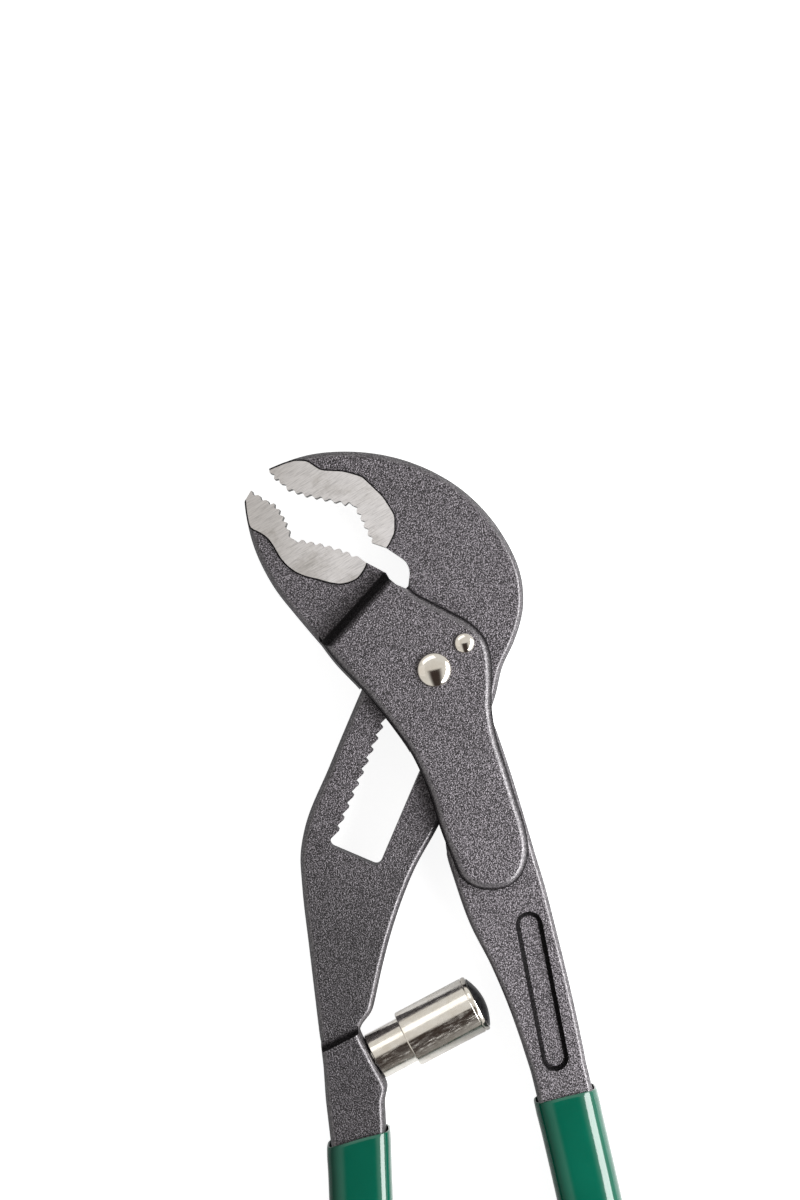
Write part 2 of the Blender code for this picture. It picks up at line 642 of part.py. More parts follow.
def build_plunger(fixed, moving):
    """Guide tube on the left handle, with the sprung sleeve, cap and bumper that slide on it."""
    tube = TUBE_DIAMETER / 2
    bore = tube - TUBE_WALL
    collar = tube + COLLAR_STEP
    lip_end = SLEEVE_START + LIP_LENGTH
    tube_end = lip_end + GAP + COLLAR_LENGTH
    stem = STEM_DIAMETER / 2
    guide = turned("plunger_guide", [
        (0.0, COIL_FLOOR + GAP), (bore, COIL_FLOOR + GAP), (bore, tube_end), (collar, tube_end),
        (collar, lip_end + GAP), (tube, lip_end + GAP), (tube, GAP), (stem, GAP),
        (stem, -STEM_DEPTH), (0.0, -STEM_DEPTH),
    ], fixed)
    bright_nickel(guide)

    inner = collar + FIT_GAP
    outer = inner + SLEEVE_WALL
    sleeve_end = SLEEVE_START + SLEEVE_LENGTH
    sleeve = turned("plunger_sleeve", [
        (outer, sleeve_end), (outer, SLEEVE_START), (tube + FIT_GAP, SLEEVE_START),
        (tube + FIT_GAP, lip_end), (inner, lip_end), (inner, sleeve_end),
    ], moving, closed=True)
    bright_nickel(sleeve)

    cap_low = sleeve_end + FIT_GAP
    cap_high = cap_low + CAP_THICKNESS
    plug = inner - FIT_GAP
    hole = BUMPER_STEM / 2 + FIT_GAP
    cap = turned("plunger_cap", [
        (outer, cap_high), (outer, cap_low), (plug, cap_low), (plug, cap_low - CAP_THICKNESS),
        (hole, cap_low - CAP_THICKNESS), (hole, cap_high),
    ], moving, closed=True)
    bright_nickel(cap)

    seat = cap_high + FIT_GAP
    dome = outer - BUMPER_STEP
    profile = []
    for i in range(7):
        angle = math.pi / 2 * i / 6
        profile.append((dome * math.sin(angle), seat + BUMPER_RIM + BUMPER_DOME * math.cos(angle)))
    profile += [(dome, seat), (BUMPER_STEM / 2, seat)]
    profile += [(BUMPER_STEM / 2, cap_low - CAP_THICKNESS), (0.0, cap_low - CAP_THICKNESS)]
    bumper = turned("plunger_bumper", profile, moving)
    finish(bumper, (0.012, 0.012, 0.013), 0.3, 0.0)

    coil_low = COIL_FLOOR + 2 * GAP
    coil_high = cap_low - CAP_THICKNESS - GAP
    build_coil(bore - GAP - COIL_WIRE / 2, coil_low, coil_high, fixed)


def settle(root):
    """Move the tool so that the middle of its underside is the origin."""
    bpy.context.view_layer.update()
    graph = bpy.context.evaluated_depsgraph_get()
    corners = []
    for piece in bpy.data.collections[TOOL].objects:
        if piece.type == 'MESH':
            solid = piece.evaluated_get(graph)
            corners += [solid.matrix_world @ vertex.co for vertex in solid.data.vertices]
    lows = [min(corner[i] for corner in corners) for i in range(3)]
    highs = [max(corner[i] for corner in corners) for i in range(3)]
    root.location = (-(lows[0] + highs[0]) / 2, -(lows[1] + highs[1]) / 2, -lows[2])
    bpy.context.view_layer.update()
    print("main pivot at %.6f %.6f %.6f" % tuple(root.location))


def main():
    clear_scene()
    guide_place = slot_point(GUIDE_ACROSS, GUIDE_ALONG)
    lean = (0.0, math.pi / 2, PLUNGER_LEAN)
    root = empty("tool_axis")
    plunger_seat = empty("plunger_seat", root, PLUNGER_SEAT, lean)
    slider_axis = empty("slider_axis", root)
    pawl_axis = empty("pawl_axis", slider_axis)
    jaw_axis = empty("lower_jaw_axis", slider_axis)
    handle_axis = empty("right_handle_axis", jaw_axis)
    plunger_axis = empty("plunger_axis", root, PLUNGER_SEAT, lean)

    build_upper_jaw(root, plunger_seat)
    build_grip("left_grip", LEFT_PATH, LEFT_GRIP_START, root)
    bush = ring("pivot_bush", HUB_RADIUS, PIVOT_DIAMETER / 2 + GAP, -BAR_HALF, -GAP / 2, slider_axis)
    hardened_steel(bush)
    build_pawl(pawl_axis)
    build_lower_jaw(jaw_axis, guide_place)
    headed_pin("pivot_pin", PIVOT_DIAMETER, PIVOT_OVERHANG, PIVOT_RIM, PIVOT_DOME, jaw_axis, (0.0, 0.0))
    headed_pin("guide_pin", GUIDE_DIAMETER, GUIDE_OVERHANG, GUIDE_RIM, GUIDE_DOME, jaw_axis, guide_place)
    build_right_handle(handle_axis)
    build_grip("right_grip", RIGHT_PATH, RIGHT_GRIP_START, handle_axis)
    build_plunger(plunger_seat, plunger_axis)
    settle(root)


main()
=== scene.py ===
import json
import math

import bmesh
import bpy
from mathutils import Matrix, Vector
from mathutils.geometry import interpolate_bezier


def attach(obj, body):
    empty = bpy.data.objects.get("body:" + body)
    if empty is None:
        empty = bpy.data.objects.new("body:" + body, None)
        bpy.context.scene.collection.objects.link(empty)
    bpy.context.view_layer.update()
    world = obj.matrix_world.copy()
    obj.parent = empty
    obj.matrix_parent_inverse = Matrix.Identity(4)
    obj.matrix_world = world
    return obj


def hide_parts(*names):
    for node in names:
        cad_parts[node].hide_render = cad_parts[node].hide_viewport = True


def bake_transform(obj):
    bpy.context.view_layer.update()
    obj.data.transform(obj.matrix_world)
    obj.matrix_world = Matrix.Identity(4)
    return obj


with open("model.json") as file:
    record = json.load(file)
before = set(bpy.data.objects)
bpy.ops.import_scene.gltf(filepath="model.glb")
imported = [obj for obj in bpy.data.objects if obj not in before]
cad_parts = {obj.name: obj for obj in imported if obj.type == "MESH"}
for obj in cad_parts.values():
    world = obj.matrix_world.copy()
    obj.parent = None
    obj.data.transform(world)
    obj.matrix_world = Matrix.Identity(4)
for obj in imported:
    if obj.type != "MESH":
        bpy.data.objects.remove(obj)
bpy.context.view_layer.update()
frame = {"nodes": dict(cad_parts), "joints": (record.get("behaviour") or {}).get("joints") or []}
mm = 0.001
pivot = Vector(next(joint["pos_m"] for joint in frame["joints"] if joint["name"] == "jaw_close"))
print("frame loaded, pivot at", [round(value, 5) for value in pivot])

slotLean = math.radians(23.1)
plungerLean = math.radians(28.0)


def newFinish(name, metallic):
    finish = bpy.data.materials.new(name)
    finish.use_nodes = True
    tree = finish.node_tree
    shader = tree.nodes["Principled BSDF"]
    shader.inputs["Metallic"].default_value = metallic
    return finish, tree, shader


def dress(tree, shader, colour, roughness, normal):
    sockets = {"Base Color": colour, "Roughness": roughness, "Normal": normal}
    for socket, value in sockets.items():
        tree.links.new(value, shader.inputs[socket])


def objectCoords(tree, turn=0.0, stretch=1.0, tilt=0.0):
    # a stretched pattern runs along the turned X axis
    coords = tree.nodes.new("ShaderNodeTexCoord")
    mapping = tree.nodes.new("ShaderNodeMapping")
    mapping.vector_type = "TEXTURE"
    mapping.inputs["Rotation"].default_value = (tilt, 0.0, turn)
    mapping.inputs["Scale"].default_value = (stretch, 1.0, 1.0)
    tree.links.new(coords.outputs["Object"], mapping.inputs["Vector"])
    return mapping.outputs["Vector"]


def grain(tree, coords, size, detail=2.0, roughness=0.5):
    # size is how far apart the grains are, in mm
    noise = tree.nodes.new("ShaderNodeTexNoise")
    noise.inputs["Scale"].default_value = 1.0 / (size * mm)
    noise.inputs["Detail"].default_value = detail
    noise.inputs["Roughness"].default_value = roughness
    tree.links.new(coords, noise.inputs["Vector"])
    return noise.outputs["Fac"]


def ramp(tree, factor, stops):
    # a stop is a place with a colour or a plain value
    node = tree.nodes.new("ShaderNodeValToRGB")
    band = node.color_ramp
    while len(band.elements) < len(stops):
        band.elements.new(0.5)
    for element, (place, tone) in zip(band.elements, stops):
        element.position = place
        element.color = (tone, tone, tone, 1.0) if isinstance(tone, float) else (*tone, 1.0)
    tree.links.new(factor, node.inputs["Fac"])
    return node.outputs["Color"]


def eased(tree, value, low, high):
    node = tree.nodes.new("ShaderNodeMapRange")
    node.interpolation_type = "SMOOTHSTEP"
    node.inputs["From Min"].default_value = low
    node.inputs["From Max"].default_value = high
    tree.links.new(value, node.inputs["Value"])
    return node.outputs["Result"]


def multiplied(tree, amount, first, second):
    node = tree.nodes.new("ShaderNodeMix")
    node.data_type = "RGBA"
    node.blend_type = "MULTIPLY"
    # sockets of the colour kind come after those for numbers and vectors
    share, firstColour, secondColour, mixedColour = 0, 6, 7, 2
    node.inputs[share].default_value = amount
    tree.links.new(first, node.inputs[firstColour])
    tree.links.new(second, node.inputs[secondColour])
    return node.outputs[mixedColour]


def bump(tree, height, strength, depth, before=None):
    node = tree.nodes.new("ShaderNodeBump")
    node.inputs["Strength"].default_value = strength
    node.inputs["Distance"].default_value = depth * mm
    tree.links.new(height, node.inputs["Height"])
    if before is not None:
        tree.links.new(before, node.inputs["Normal"])
    return node.outputs["Normal"]


def shaded(tree, axis, low, high, tone):
    # tone up to the low end, fading out towards the high one
    split = tree.nodes.new("ShaderNodeSeparateXYZ")
    tree.links.new(objectCoords(tree), split.inputs["Vector"])
    return ramp(tree, eased(tree, split.outputs[axis], low, high), [(0.0, tone), (1.0, 1.0)])


forging = {
    "metallic": 0.25, "turn": 0.3, "tilt": 0.6,
    "peelSize": 0.27, "peelStops": (0.37, 0.50, 0.63), "peelDepth": 0.27,
    "swellSize": 0.9, "swellShare": 0.3, "swellDepth": 0.12,
    "cloudSize": 11.0, "cloudTones": [(0.3, 0.86), (0.7, 1.0)], "glossStops": (0.3, 0.7),
    "shadeTone": 0.5, "shadeLow": -57.0, "shadeHigh": -13.0,
}


def makeForging(name, tones, gloss=(0.46, 0.30), relief=1.0, shine=0.5, paintedShade=False):
    # blasted and blackened, about as fine as sand, with tones from pit to crest
    finish, tree, shader = newFinish(name, forging["metallic"])
    shader.inputs["Specular IOR Level"].default_value = shine
    coords = objectCoords(tree, forging["turn"], 1.0, forging["tilt"])
    peel = grain(tree, coords, forging["peelSize"], 1.0)
    swell = grain(tree, coords, forging["swellSize"], 1.0)
    cloud = grain(tree, coords, forging["cloudSize"], 3.0)
    speckle = ramp(tree, peel, list(zip(forging["peelStops"], tones)))
    colour = multiplied(tree, 1.0, speckle, ramp(tree, cloud, forging["cloudTones"]))
    if paintedShade:
        # painted shade, darker towards the grip
        low, high = (pivot.y + forging[end] * mm for end in ("shadeLow", "shadeHigh"))
        colour = multiplied(tree, 1.0, colour, shaded(tree, "Y", low, high, forging["shadeTone"]))
    roughness = ramp(tree, peel, list(zip(forging["glossStops"], gloss)))
    pitted = bump(tree, peel, relief, forging["peelDepth"])
    normal = bump(tree, swell, relief * forging["swellShare"], forging["swellDepth"], pitted)
    dress(tree, shader, colour, roughness, normal)
    return finish


ground = {
    "metallic": 0.35, "lineTurn": math.radians(31.0), "lineStretch": 14.0, "lineSize": 0.15,
    "lineStops": (0.3, 0.52, 0.75), "lineRelief": 0.14, "lineDepth": 0.04, "crest": 1.08,
    "scratchTurn": math.radians(27.0), "scratchStretch": 24.0, "scratchSize": 0.5,
    "gloss": [(0.3, 0.34), (0.7, 0.5)], "patchSize": 7.5, "stainShare": 0.8,
    "stains": [(0.36, (0.70, 0.685, 0.655)), (0.50, (0.97, 0.965, 0.955)), (0.7, 1.0)],
    "tipTone": (0.80, 0.79, 0.77), "tipLow": -36.0, "tipHigh": -19.0,
}


def makeGroundSteel(name, pale, dark):
    finish, tree, shader = newFinish(name, ground["metallic"])
    # grinding marks run from lower left to upper right
    lineCoords = objectCoords(tree, ground["lineTurn"], ground["lineStretch"])
    lines = grain(tree, lineCoords, ground["lineSize"], 2.0, 0.6)
    scratchCoords = objectCoords(tree, ground["scratchTurn"], ground["scratchStretch"])
    scratch = grain(tree, scratchCoords, ground["scratchSize"])
    patch = grain(tree, objectCoords(tree), ground["patchSize"], 6.0, 0.72)
    crest = [min(1.0, value * ground["crest"]) for value in pale]
    body = ramp(tree, lines, list(zip(ground["lineStops"], (dark, pale, crest))))
    worn = multiplied(tree, ground["stainShare"], body, ramp(tree, patch, ground["stains"]))
    # darker towards the tips of the jaws
    low, high = (pivot.x + ground[end] * mm for end in ("tipLow", "tipHigh"))
    colour = multiplied(tree, 1.0, worn, shaded(tree, "X", low, high, ground["tipTone"]))
    normal = bump(tree, lines, ground["lineRelief"], ground["lineDepth"])
    dress(tree, shader, colour, ramp(tree, scratch, ground["gloss"]), normal)
    return finish


nickel = {
    "scuffStretch": 5.0, "scuffSize": 0.45, "scuffStops": (0.36, 0.72), "polish": 0.06,
    "cloudSize": 2.6, "tones": [(0.3, (0.78, 0.73, 0.66)), (0.6, (0.88, 0.85, 0.80))],
    "fleckSize": 0.22, "fleckRelief": 0.03, "fleckDepth": 0.04,
}


def makeNickel(name, haze):
    # haze is how rough the scuffs are, which run along the plunger
    finish, tree, shader = newFinish(name, 1.0)
    coords = objectCoords(tree)
    scuffCoords = objectCoords(tree, plungerLean, nickel["scuffStretch"])
    scuff = grain(tree, scuffCoords, nickel["scuffSize"], 4.0, 0.7)
    cloud = grain(tree, coords, nickel["cloudSize"], 4.0, 0.6)
    fleck = grain(tree, coords, nickel["fleckSize"])
    roughness = ramp(tree, scuff, list(zip(nickel["scuffStops"], (nickel["polish"], haze))))
    normal = bump(tree, fleck, nickel["fleckRelief"], nickel["fleckDepth"])
    dress(tree, shader, ramp(tree, cloud, nickel["tones"]), roughness, normal)
    return finish


vinyl = {
    "cloudSize": 14.0, "tones": [(0.3, (0.0002, 0.089, 0.052)), (0.7, (0.0008, 0.111, 0.067))],
    "dustSize": 0.5, "gloss": [(0.4, 0.10), (0.75, 0.18)],
    "skinSize": 2.4, "skinRelief": 0.10, "skinDepth": 0.25,
    "dullSide": (-0.95, -0.1), "coatRough": 0.05,
    "shine": {"Specular IOR Level": (0.08, 0.5), "Coat Weight": (0.12, 0.85)},
}


def makeVinyl():
    finish, tree, shader = newFinish("green_vinyl", 0.0)
    coords = objectCoords(tree)
    cloud = grain(tree, coords, vinyl["cloudSize"])
    skin = grain(tree, coords, vinyl["skinSize"], 1.0)
    dust = grain(tree, coords, vinyl["dustSize"], 1.0)
    normal = bump(tree, skin, vinyl["skinRelief"], vinyl["skinDepth"])
    dress(tree, shader, ramp(tree, cloud, vinyl["tones"]), ramp(tree, dust, vinyl["gloss"]), normal)
    # duller down the left side
    side = tree.nodes.new("ShaderNodeAttribute")
    side.attribute_name = "side"
    shine = eased(tree, side.outputs["Fac"], *vinyl["dullSide"])
    for socket, (dull, bright) in vinyl["shine"].items():
        tree.links.new(ramp(tree, shine, [(0.0, dull), (1.0, bright)]), shader.inputs[socket])
    shader.inputs["Coat Roughness"].default_value = vinyl["coatRough"]
    return finish


rubber = {
    "skinSize": 0.8, "tones": [(0.3, (0.008, 0.008, 0.009)), (0.7, (0.020, 0.020, 0.021))],
    "gloss": [(0.3, 0.22), (0.7, 0.38)], "relief": 0.1, "depth": 0.05,
}


def makeBumper():
    finish, tree, shader = newFinish("black_bumper", 0.0)
    skin = grain(tree, objectCoords(tree), rubber["skinSize"])
    colour, roughness = ramp(tree, skin, rubber["tones"]), ramp(tree, skin, rubber["gloss"])
    dress(tree, shader, colour, roughness, bump(tree, skin, rubber["relief"], rubber["depth"]))
    return finish


blackTones = ((0.014, 0.012, 0.014), (0.078, 0.069, 0.079), (0.285, 0.261, 0.286))
darkTones = ((0.004, 0.004, 0.004), (0.012, 0.011, 0.012), (0.028, 0.026, 0.028))
deepTones = ((0.006, 0.006, 0.006), (0.024, 0.021, 0.024), (0.064, 0.059, 0.064))
thinTones = ((0.009, 0.008, 0.009), (0.044, 0.039, 0.044), (0.140, 0.129, 0.140))
sideTones = ((0.008, 0.007, 0.008), (0.036, 0.032, 0.036), (0.110, 0.101, 0.110))
edgeTones = ((0.070, 0.065, 0.070), (0.150, 0.140, 0.151), (0.270, 0.256, 0.268))
blackForging = makeForging("black_forging", blackTones)
# the left forging is a copy darkened towards the grip as painted shade
leftShadedForging = makeForging("left_forging_painted_shade", blackTones, paintedShade=True)
# near-black copies of the forging, painted shade for steps, walls and hollows, from darkest to
# palest
shadeDark = makeForging("painted_shade_dark", darkTones, (0.7, 0.55), 0.5, 0.05)
shadeDeep = makeForging("painted_shade_deep", deepTones, (0.62, 0.46), 0.65, 0.15)
shadeThin = makeForging("painted_shade_thin", thinTones, (0.54, 0.38), 0.8, 0.3)
# a darker copy of the forging for the side walls, painted shade
sideShadeForging = makeForging("side_forging_painted_shade", sideTones, (0.55, 0.40), 0.8, 0.35)
# a lighter, glossier copy for the middle of the edge rounding: painted highlight, and smoother as
# well
edgeHighlight = makeForging("edge_painted_highlight", edgeTones, (0.32, 0.18), 0.16)
groundPad = makeGroundSteel("ground_pad", (0.75, 0.725, 0.72), (0.56, 0.54, 0.535))
cutSteel = makeGroundSteel("cut_steel", (0.20, 0.195, 0.19), (0.12, 0.118, 0.116))
innerSteel = makeGroundSteel("inner_steel", (0.40, 0.39, 0.385), (0.28, 0.275, 0.27))
brightNickel = makeNickel("bright_nickel", 0.12)
wornNickel = makeNickel("worn_nickel", 0.34)
greenVinyl = makeVinyl()
blackBumper = makeBumper()
print("finishes made:", len(bpy.data.materials))


# outlines are drawn in mm from the pivot, heights from the middle plane
weld = {"mirror": 0.001, "doubles": 0.0005, "slivers": 0.0002}
through = 12.0
outlineGap = 0.6
edgeSteps = 6
# the wall and first rounding step get painted side shade, the middle of the rounding a painted
# highlight
roundBands = (1, 1, 0, 2, 2, 2, 0)


def slotSpot(across, along):
    return (across * math.cos(slotLean) + along * math.sin(slotLean),
            along * math.cos(slotLean) - across * math.sin(slotLean))


def curveThrough(points, gap=0.8):
    spots = [Vector(point) for point in points]
    chords = [(b - a).length for a, b in zip(spots, spots[1:])]
    slopes = [(b - a) / chord for a, b, chord in zip(spots, spots[1:], chords)]
    tangents = [slopes[0]]
    for i in range(1, len(slopes)):
        before, after = chords[i - 1], chords[i]
        tangents.append((slopes[i - 1] * after + slopes[i] * before) / (before + after))
    tangents.append(slopes[-1])
    run = [spots[0]]
    for i, chord in enumerate(chords):
        near = spots[i] + tangents[i] * chord / 3
        far = spots[i + 1] - tangents[i + 1] * chord / 3
        count = max(1, round(chord / gap)) + 1
        run += interpolate_bezier(spots[i], near, far, spots[i + 1], count)[1:]
    return [tuple(spot) for spot in run]


def arc(centre, radius, start, end, steps):
    turns = [start + (end - start) * i / steps for i in range(steps + 1)]
    return [(centre[0] + radius * math.cos(turn), centre[1] + radius * math.sin(turn))
            for turn in turns]


def outlineFace(bm, points, rounds, height=0.0):
    verts = [bm.verts.new((x * mm, y * mm, height * mm)) for x, y in points]
    edges = [bm.edges.new(pair) for pair in zip(verts, verts[1:] + verts[:1])]
    for edge in edges:
        cuts = int(edge.calc_length() / (outlineGap * mm))
        if cuts and rounds:
            bmesh.ops.subdivide_edges(bm, edges=[edge], cuts=cuts)
    for i in range(rounds):
        bmesh.ops.smooth_vert(bm, verts=bm.verts[:], factor=0.5, use_axis_x=True, use_axis_y=True)
    face = bmesh.ops.edgeloop_fill(bm, edges=bm.edges[:])["faces"][0]
    face.normal_update()
    if face.normal.z < 0.0:
        bmesh.ops.reverse_faces(bm, faces=[face])
    return face


def mirrorDown(bm):
    bmesh.ops.mirror(bm, geom=bm.verts[:] + bm.edges[:] + bm.faces[:], axis="Z",
                     merge_dist=weld["mirror"] * mm)


def extrudeBy(bm, face, shift):
    lid = bmesh.ops.extrude_face_region(bm, geom=[face], use_keep_orig=True)["geom"]
    tops = [item for item in lid if isinstance(item, bmesh.types.BMVert)]
    bmesh.ops.translate(bm, verts=tops, vec=shift)


def inset(bm, face, thickness, depth, even=True):
    return bmesh.ops.inset_region(bm, faces=[face], thickness=thickness * mm, depth=depth * mm,
                                  use_boundary=True, use_even_offset=even)["faces"]


def addObject(name, data):
    thing = bpy.data.objects.new(name, data)
    bpy.context.scene.collection.objects.link(thing)
    return thing


def toObject(bm, name, finishes):
    bmesh.ops.remove_doubles(bm, verts=bm.verts[:], dist=weld["doubles"] * mm)
    bmesh.ops.dissolve_degenerate(bm, edges=bm.edges[:], dist=weld["slivers"] * mm)
    bmesh.ops.recalc_face_normals(bm, faces=bm.faces[:])
    bmesh.ops.translate(bm, verts=bm.verts[:], vec=pivot)
    mesh = bpy.data.meshes.new(name)
    bm.to_mesh(mesh)
    bm.free()
    for finish in finishes:
        mesh.materials.append(finish)
    return addObject(name, mesh)


def forgedSlab(name, points, half, draft, edge, rounds=12, bands=roundBands, skin=blackForging):
    # widest at the parting line, drawn in to both faces, with round edges
    # bands are the finishes from the wall up
    bm = bmesh.new()
    face = outlineFace(bm, points, rounds)
    steps = [(draft, half - edge)]
    for i in range(1, edgeSteps + 1):
        angle = math.pi / 2 * i / edgeSteps
        drawn = draft + edge * (1.0 - math.cos(angle))
        steps.append((drawn, half - edge + edge * math.sin(angle)))
    drawn, height = 0.0, 0.0
    for (nextDrawn, nextHeight), band in zip(steps, bands):
        for strip in inset(bm, face, nextDrawn - drawn, nextHeight - height):
            strip.material_index = band
        drawn, height = nextDrawn, nextHeight
    mirrorDown(bm)
    return toObject(bm, name, [skin, sideShadeForging, edgeHighlight, shadeDark])


def prism(name, points, low, high, finish):
    bm = bmesh.new()
    face = outlineFace(bm, points, 0, low)
    extrudeBy(bm, face, (0.0, 0.0, (high - low) * mm))
    return toObject(bm, name, [finish])


stepCut = {"low": 3.9, "overrun": 12.0, "segments": 18, "clear": 30.0, "past": 0.02, "lift": 0.1,
           "above": 6.0}


def stepCutter(name, settings, high, facing, filleted):
    # clears what stands over the low face, left of the line, to a round foot or a round top
    start, end = (Vector(spot) for spot in settings["step"])
    width = settings["stepWidth"]
    along = (end - start).normalized()
    left = Vector((-along.y, along.x))
    begin = start - along * stepCut["overrun"]
    length = (end - start).length + 2 * stepCut["overrun"]
    low, clear, top = stepCut["low"], stepCut["clear"], high + stepCut["above"]
    profile = [(clear, low)]
    for i in range(stepCut["segments"] + 1):
        turn = math.pi / 2 * i / stepCut["segments"]
        out, up = math.cos(turn) - 1.0, math.sin(turn)
        if filleted:
            out, up = -math.sin(turn), 1.0 - math.cos(turn)
        profile.append((width * (0.5 + out), low + (high + stepCut["past"] - low) * up))
    profile += [(-width, high + stepCut["lift"]), (-width, top), (clear, top)]
    bm = bmesh.new()
    verts = []
    for out, height in profile:
        spot = begin + left * out
        verts.append(bm.verts.new((spot.x * mm, spot.y * mm, facing * height * mm)))
    shift = (along.x * length * mm, along.y * length * mm, 0.0)
    extrudeBy(bm, bm.faces.new(verts), shift)
    for face in bm.faces:
        # painted shadow, darkest by the crisp edge and paler towards the round one
        out = (face.calc_center_median().xy / mm - begin).dot(left) / width
        share = 0.5 + out if filleted else 0.5 - out
        face.material_index = sum(share > edge for edge in settings["fades"])
    return toObject(bm, name, [shadeDark, shadeDeep, shadeThin, blackForging])


def carve(piece, other, operation):
    boolean = piece.modifiers.new(operation.lower(), "BOOLEAN")
    boolean.operation = operation
    boolean.object = other
    boolean.solver = "EXACT"
    boolean.material_mode = "TRANSFER"
    graph = bpy.context.evaluated_depsgraph_get()
    mesh = bpy.data.meshes.new_from_object(piece.evaluated_get(graph))
    piece.modifiers.clear()
    piece.data = mesh
    bpy.data.objects.remove(other)


def cutSteps(piece, name, settings, high, filleted):
    for facing in (1.0, -1.0):
        carve(piece, stepCutter(name, settings, high, facing, filleted), "DIFFERENCE")


def cutOut(piece, name, points, half=through, finish=blackForging):
    carve(piece, prism(name, points, -half, half, finish), "DIFFERENCE")


def drill(piece, name, radius, place=(0.0, 0.0)):
    bm = bmesh.new()
    bmesh.ops.create_cone(bm, cap_ends=True, segments=64, radius1=radius * mm,
                          radius2=radius * mm, depth=2 * through * mm)
    bmesh.ops.translate(bm, verts=bm.verts[:], vec=(place[0] * mm, place[1] * mm, 0.0))
    carve(piece, toObject(bm, name, [blackForging]), "DIFFERENCE")


def smoothed(piece, sharp):
    piece.data.polygons.foreach_set("use_smooth", [True] * len(piece.data.polygons))
    piece.data.set_sharp_from_angle(angle=math.radians(sharp))
    print(piece.name, "has", len(piece.data.polygons), "faces")


def settle(piece, body, node, sharp=32.0):
    smoothed(piece, sharp)
    weighted = piece.modifiers.new("even_shading", "WEIGHTED_NORMAL")
    weighted.keep_sharp = True
    weighted.weight = 80
    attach(piece, body)
    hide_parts(node)


# middle lines of the two handles
handles = {
    "halfWidth": 5.6, "thickHalf": 5.9, "rounds": 4, "endSteps": 16,
    "leftStart": (-15.4, -86.0), "leftBend": (-12.6, -140.0), "leftEnd": (-14.4, -198.7),
    "rightStart": (24.8, -79.2), "rightBend": (41.0, -145.0), "rightEnd": (47.6, -198.7),
}


def handleLine(side, steps=48):
    start, bend, end = (Vector(handles[side + part]) for part in ("Start", "Bend", "End"))
    near, far = start + (bend - start) * 2 / 3, end + (bend - end) * 2 / 3
    return interpolate_bezier(start, near, far, end, steps + 1)


def bothSides(line, half):
    right, left = [], []
    for i, spot in enumerate(line):
        along = (line[min(i + 1, len(line) - 1)] - line[max(i - 1, 0)]).normalized()
        side = Vector((-along.y, along.x)) * half
        right.append(tuple(spot + side))
        left.append(tuple(spot - side))
    return right, left, math.atan2(side.y, side.x)


def handleOutline(side):
    line, half = handleLine(side), handles["halfWidth"]
    right, left, turn = bothSides(line, half)
    end = arc(line[-1], half, turn, turn - math.pi, handles["endSteps"])
    return right + end[1:-1] + left[::-1]


jaws = {"half": 4.0, "draft": 0.3, "edge": 1.1, "padSunk": 0.05, "padRise": 0.55, "padDraft": 0.34,
        "padRounds": 2, "toothDepth": 0.55}
toothShape = ((0.0, 0.0), (0.1, 0.06), (0.42, 0.94), (0.5, 1.0), (0.58, 0.94), (0.9, 0.06))


def padSlab(name, outline):
    # a boss on both faces whose top is ground bright
    bm = bmesh.new()
    face = outlineFace(bm, outline, jaws["padRounds"])
    inset(bm, face, 0.0, jaws["half"] - jaws["padSunk"], False)
    inset(bm, face, jaws["padDraft"], jaws["padRise"] + jaws["padSunk"])
    # the walls keep slot 0: black unground steel, darkened further by painted shade
    face.material_index = 1
    mirrorDown(bm)
    return toObject(bm, name, [shadeDark, groundPad])


def teeth(tips):
    # blunt tips with a gullet half way between each two, cut to the right of the run
    run = []
    for start, end in zip(tips, tips[1:]):
        first = Vector(start)
        along = Vector(end) - first
        inward = Vector((along.y, -along.x)).normalized() * jaws["toothDepth"]
        for share, drop in toothShape:
            run.append(tuple(first + along * share + inward * drop))
    return run + [tips[-1]]


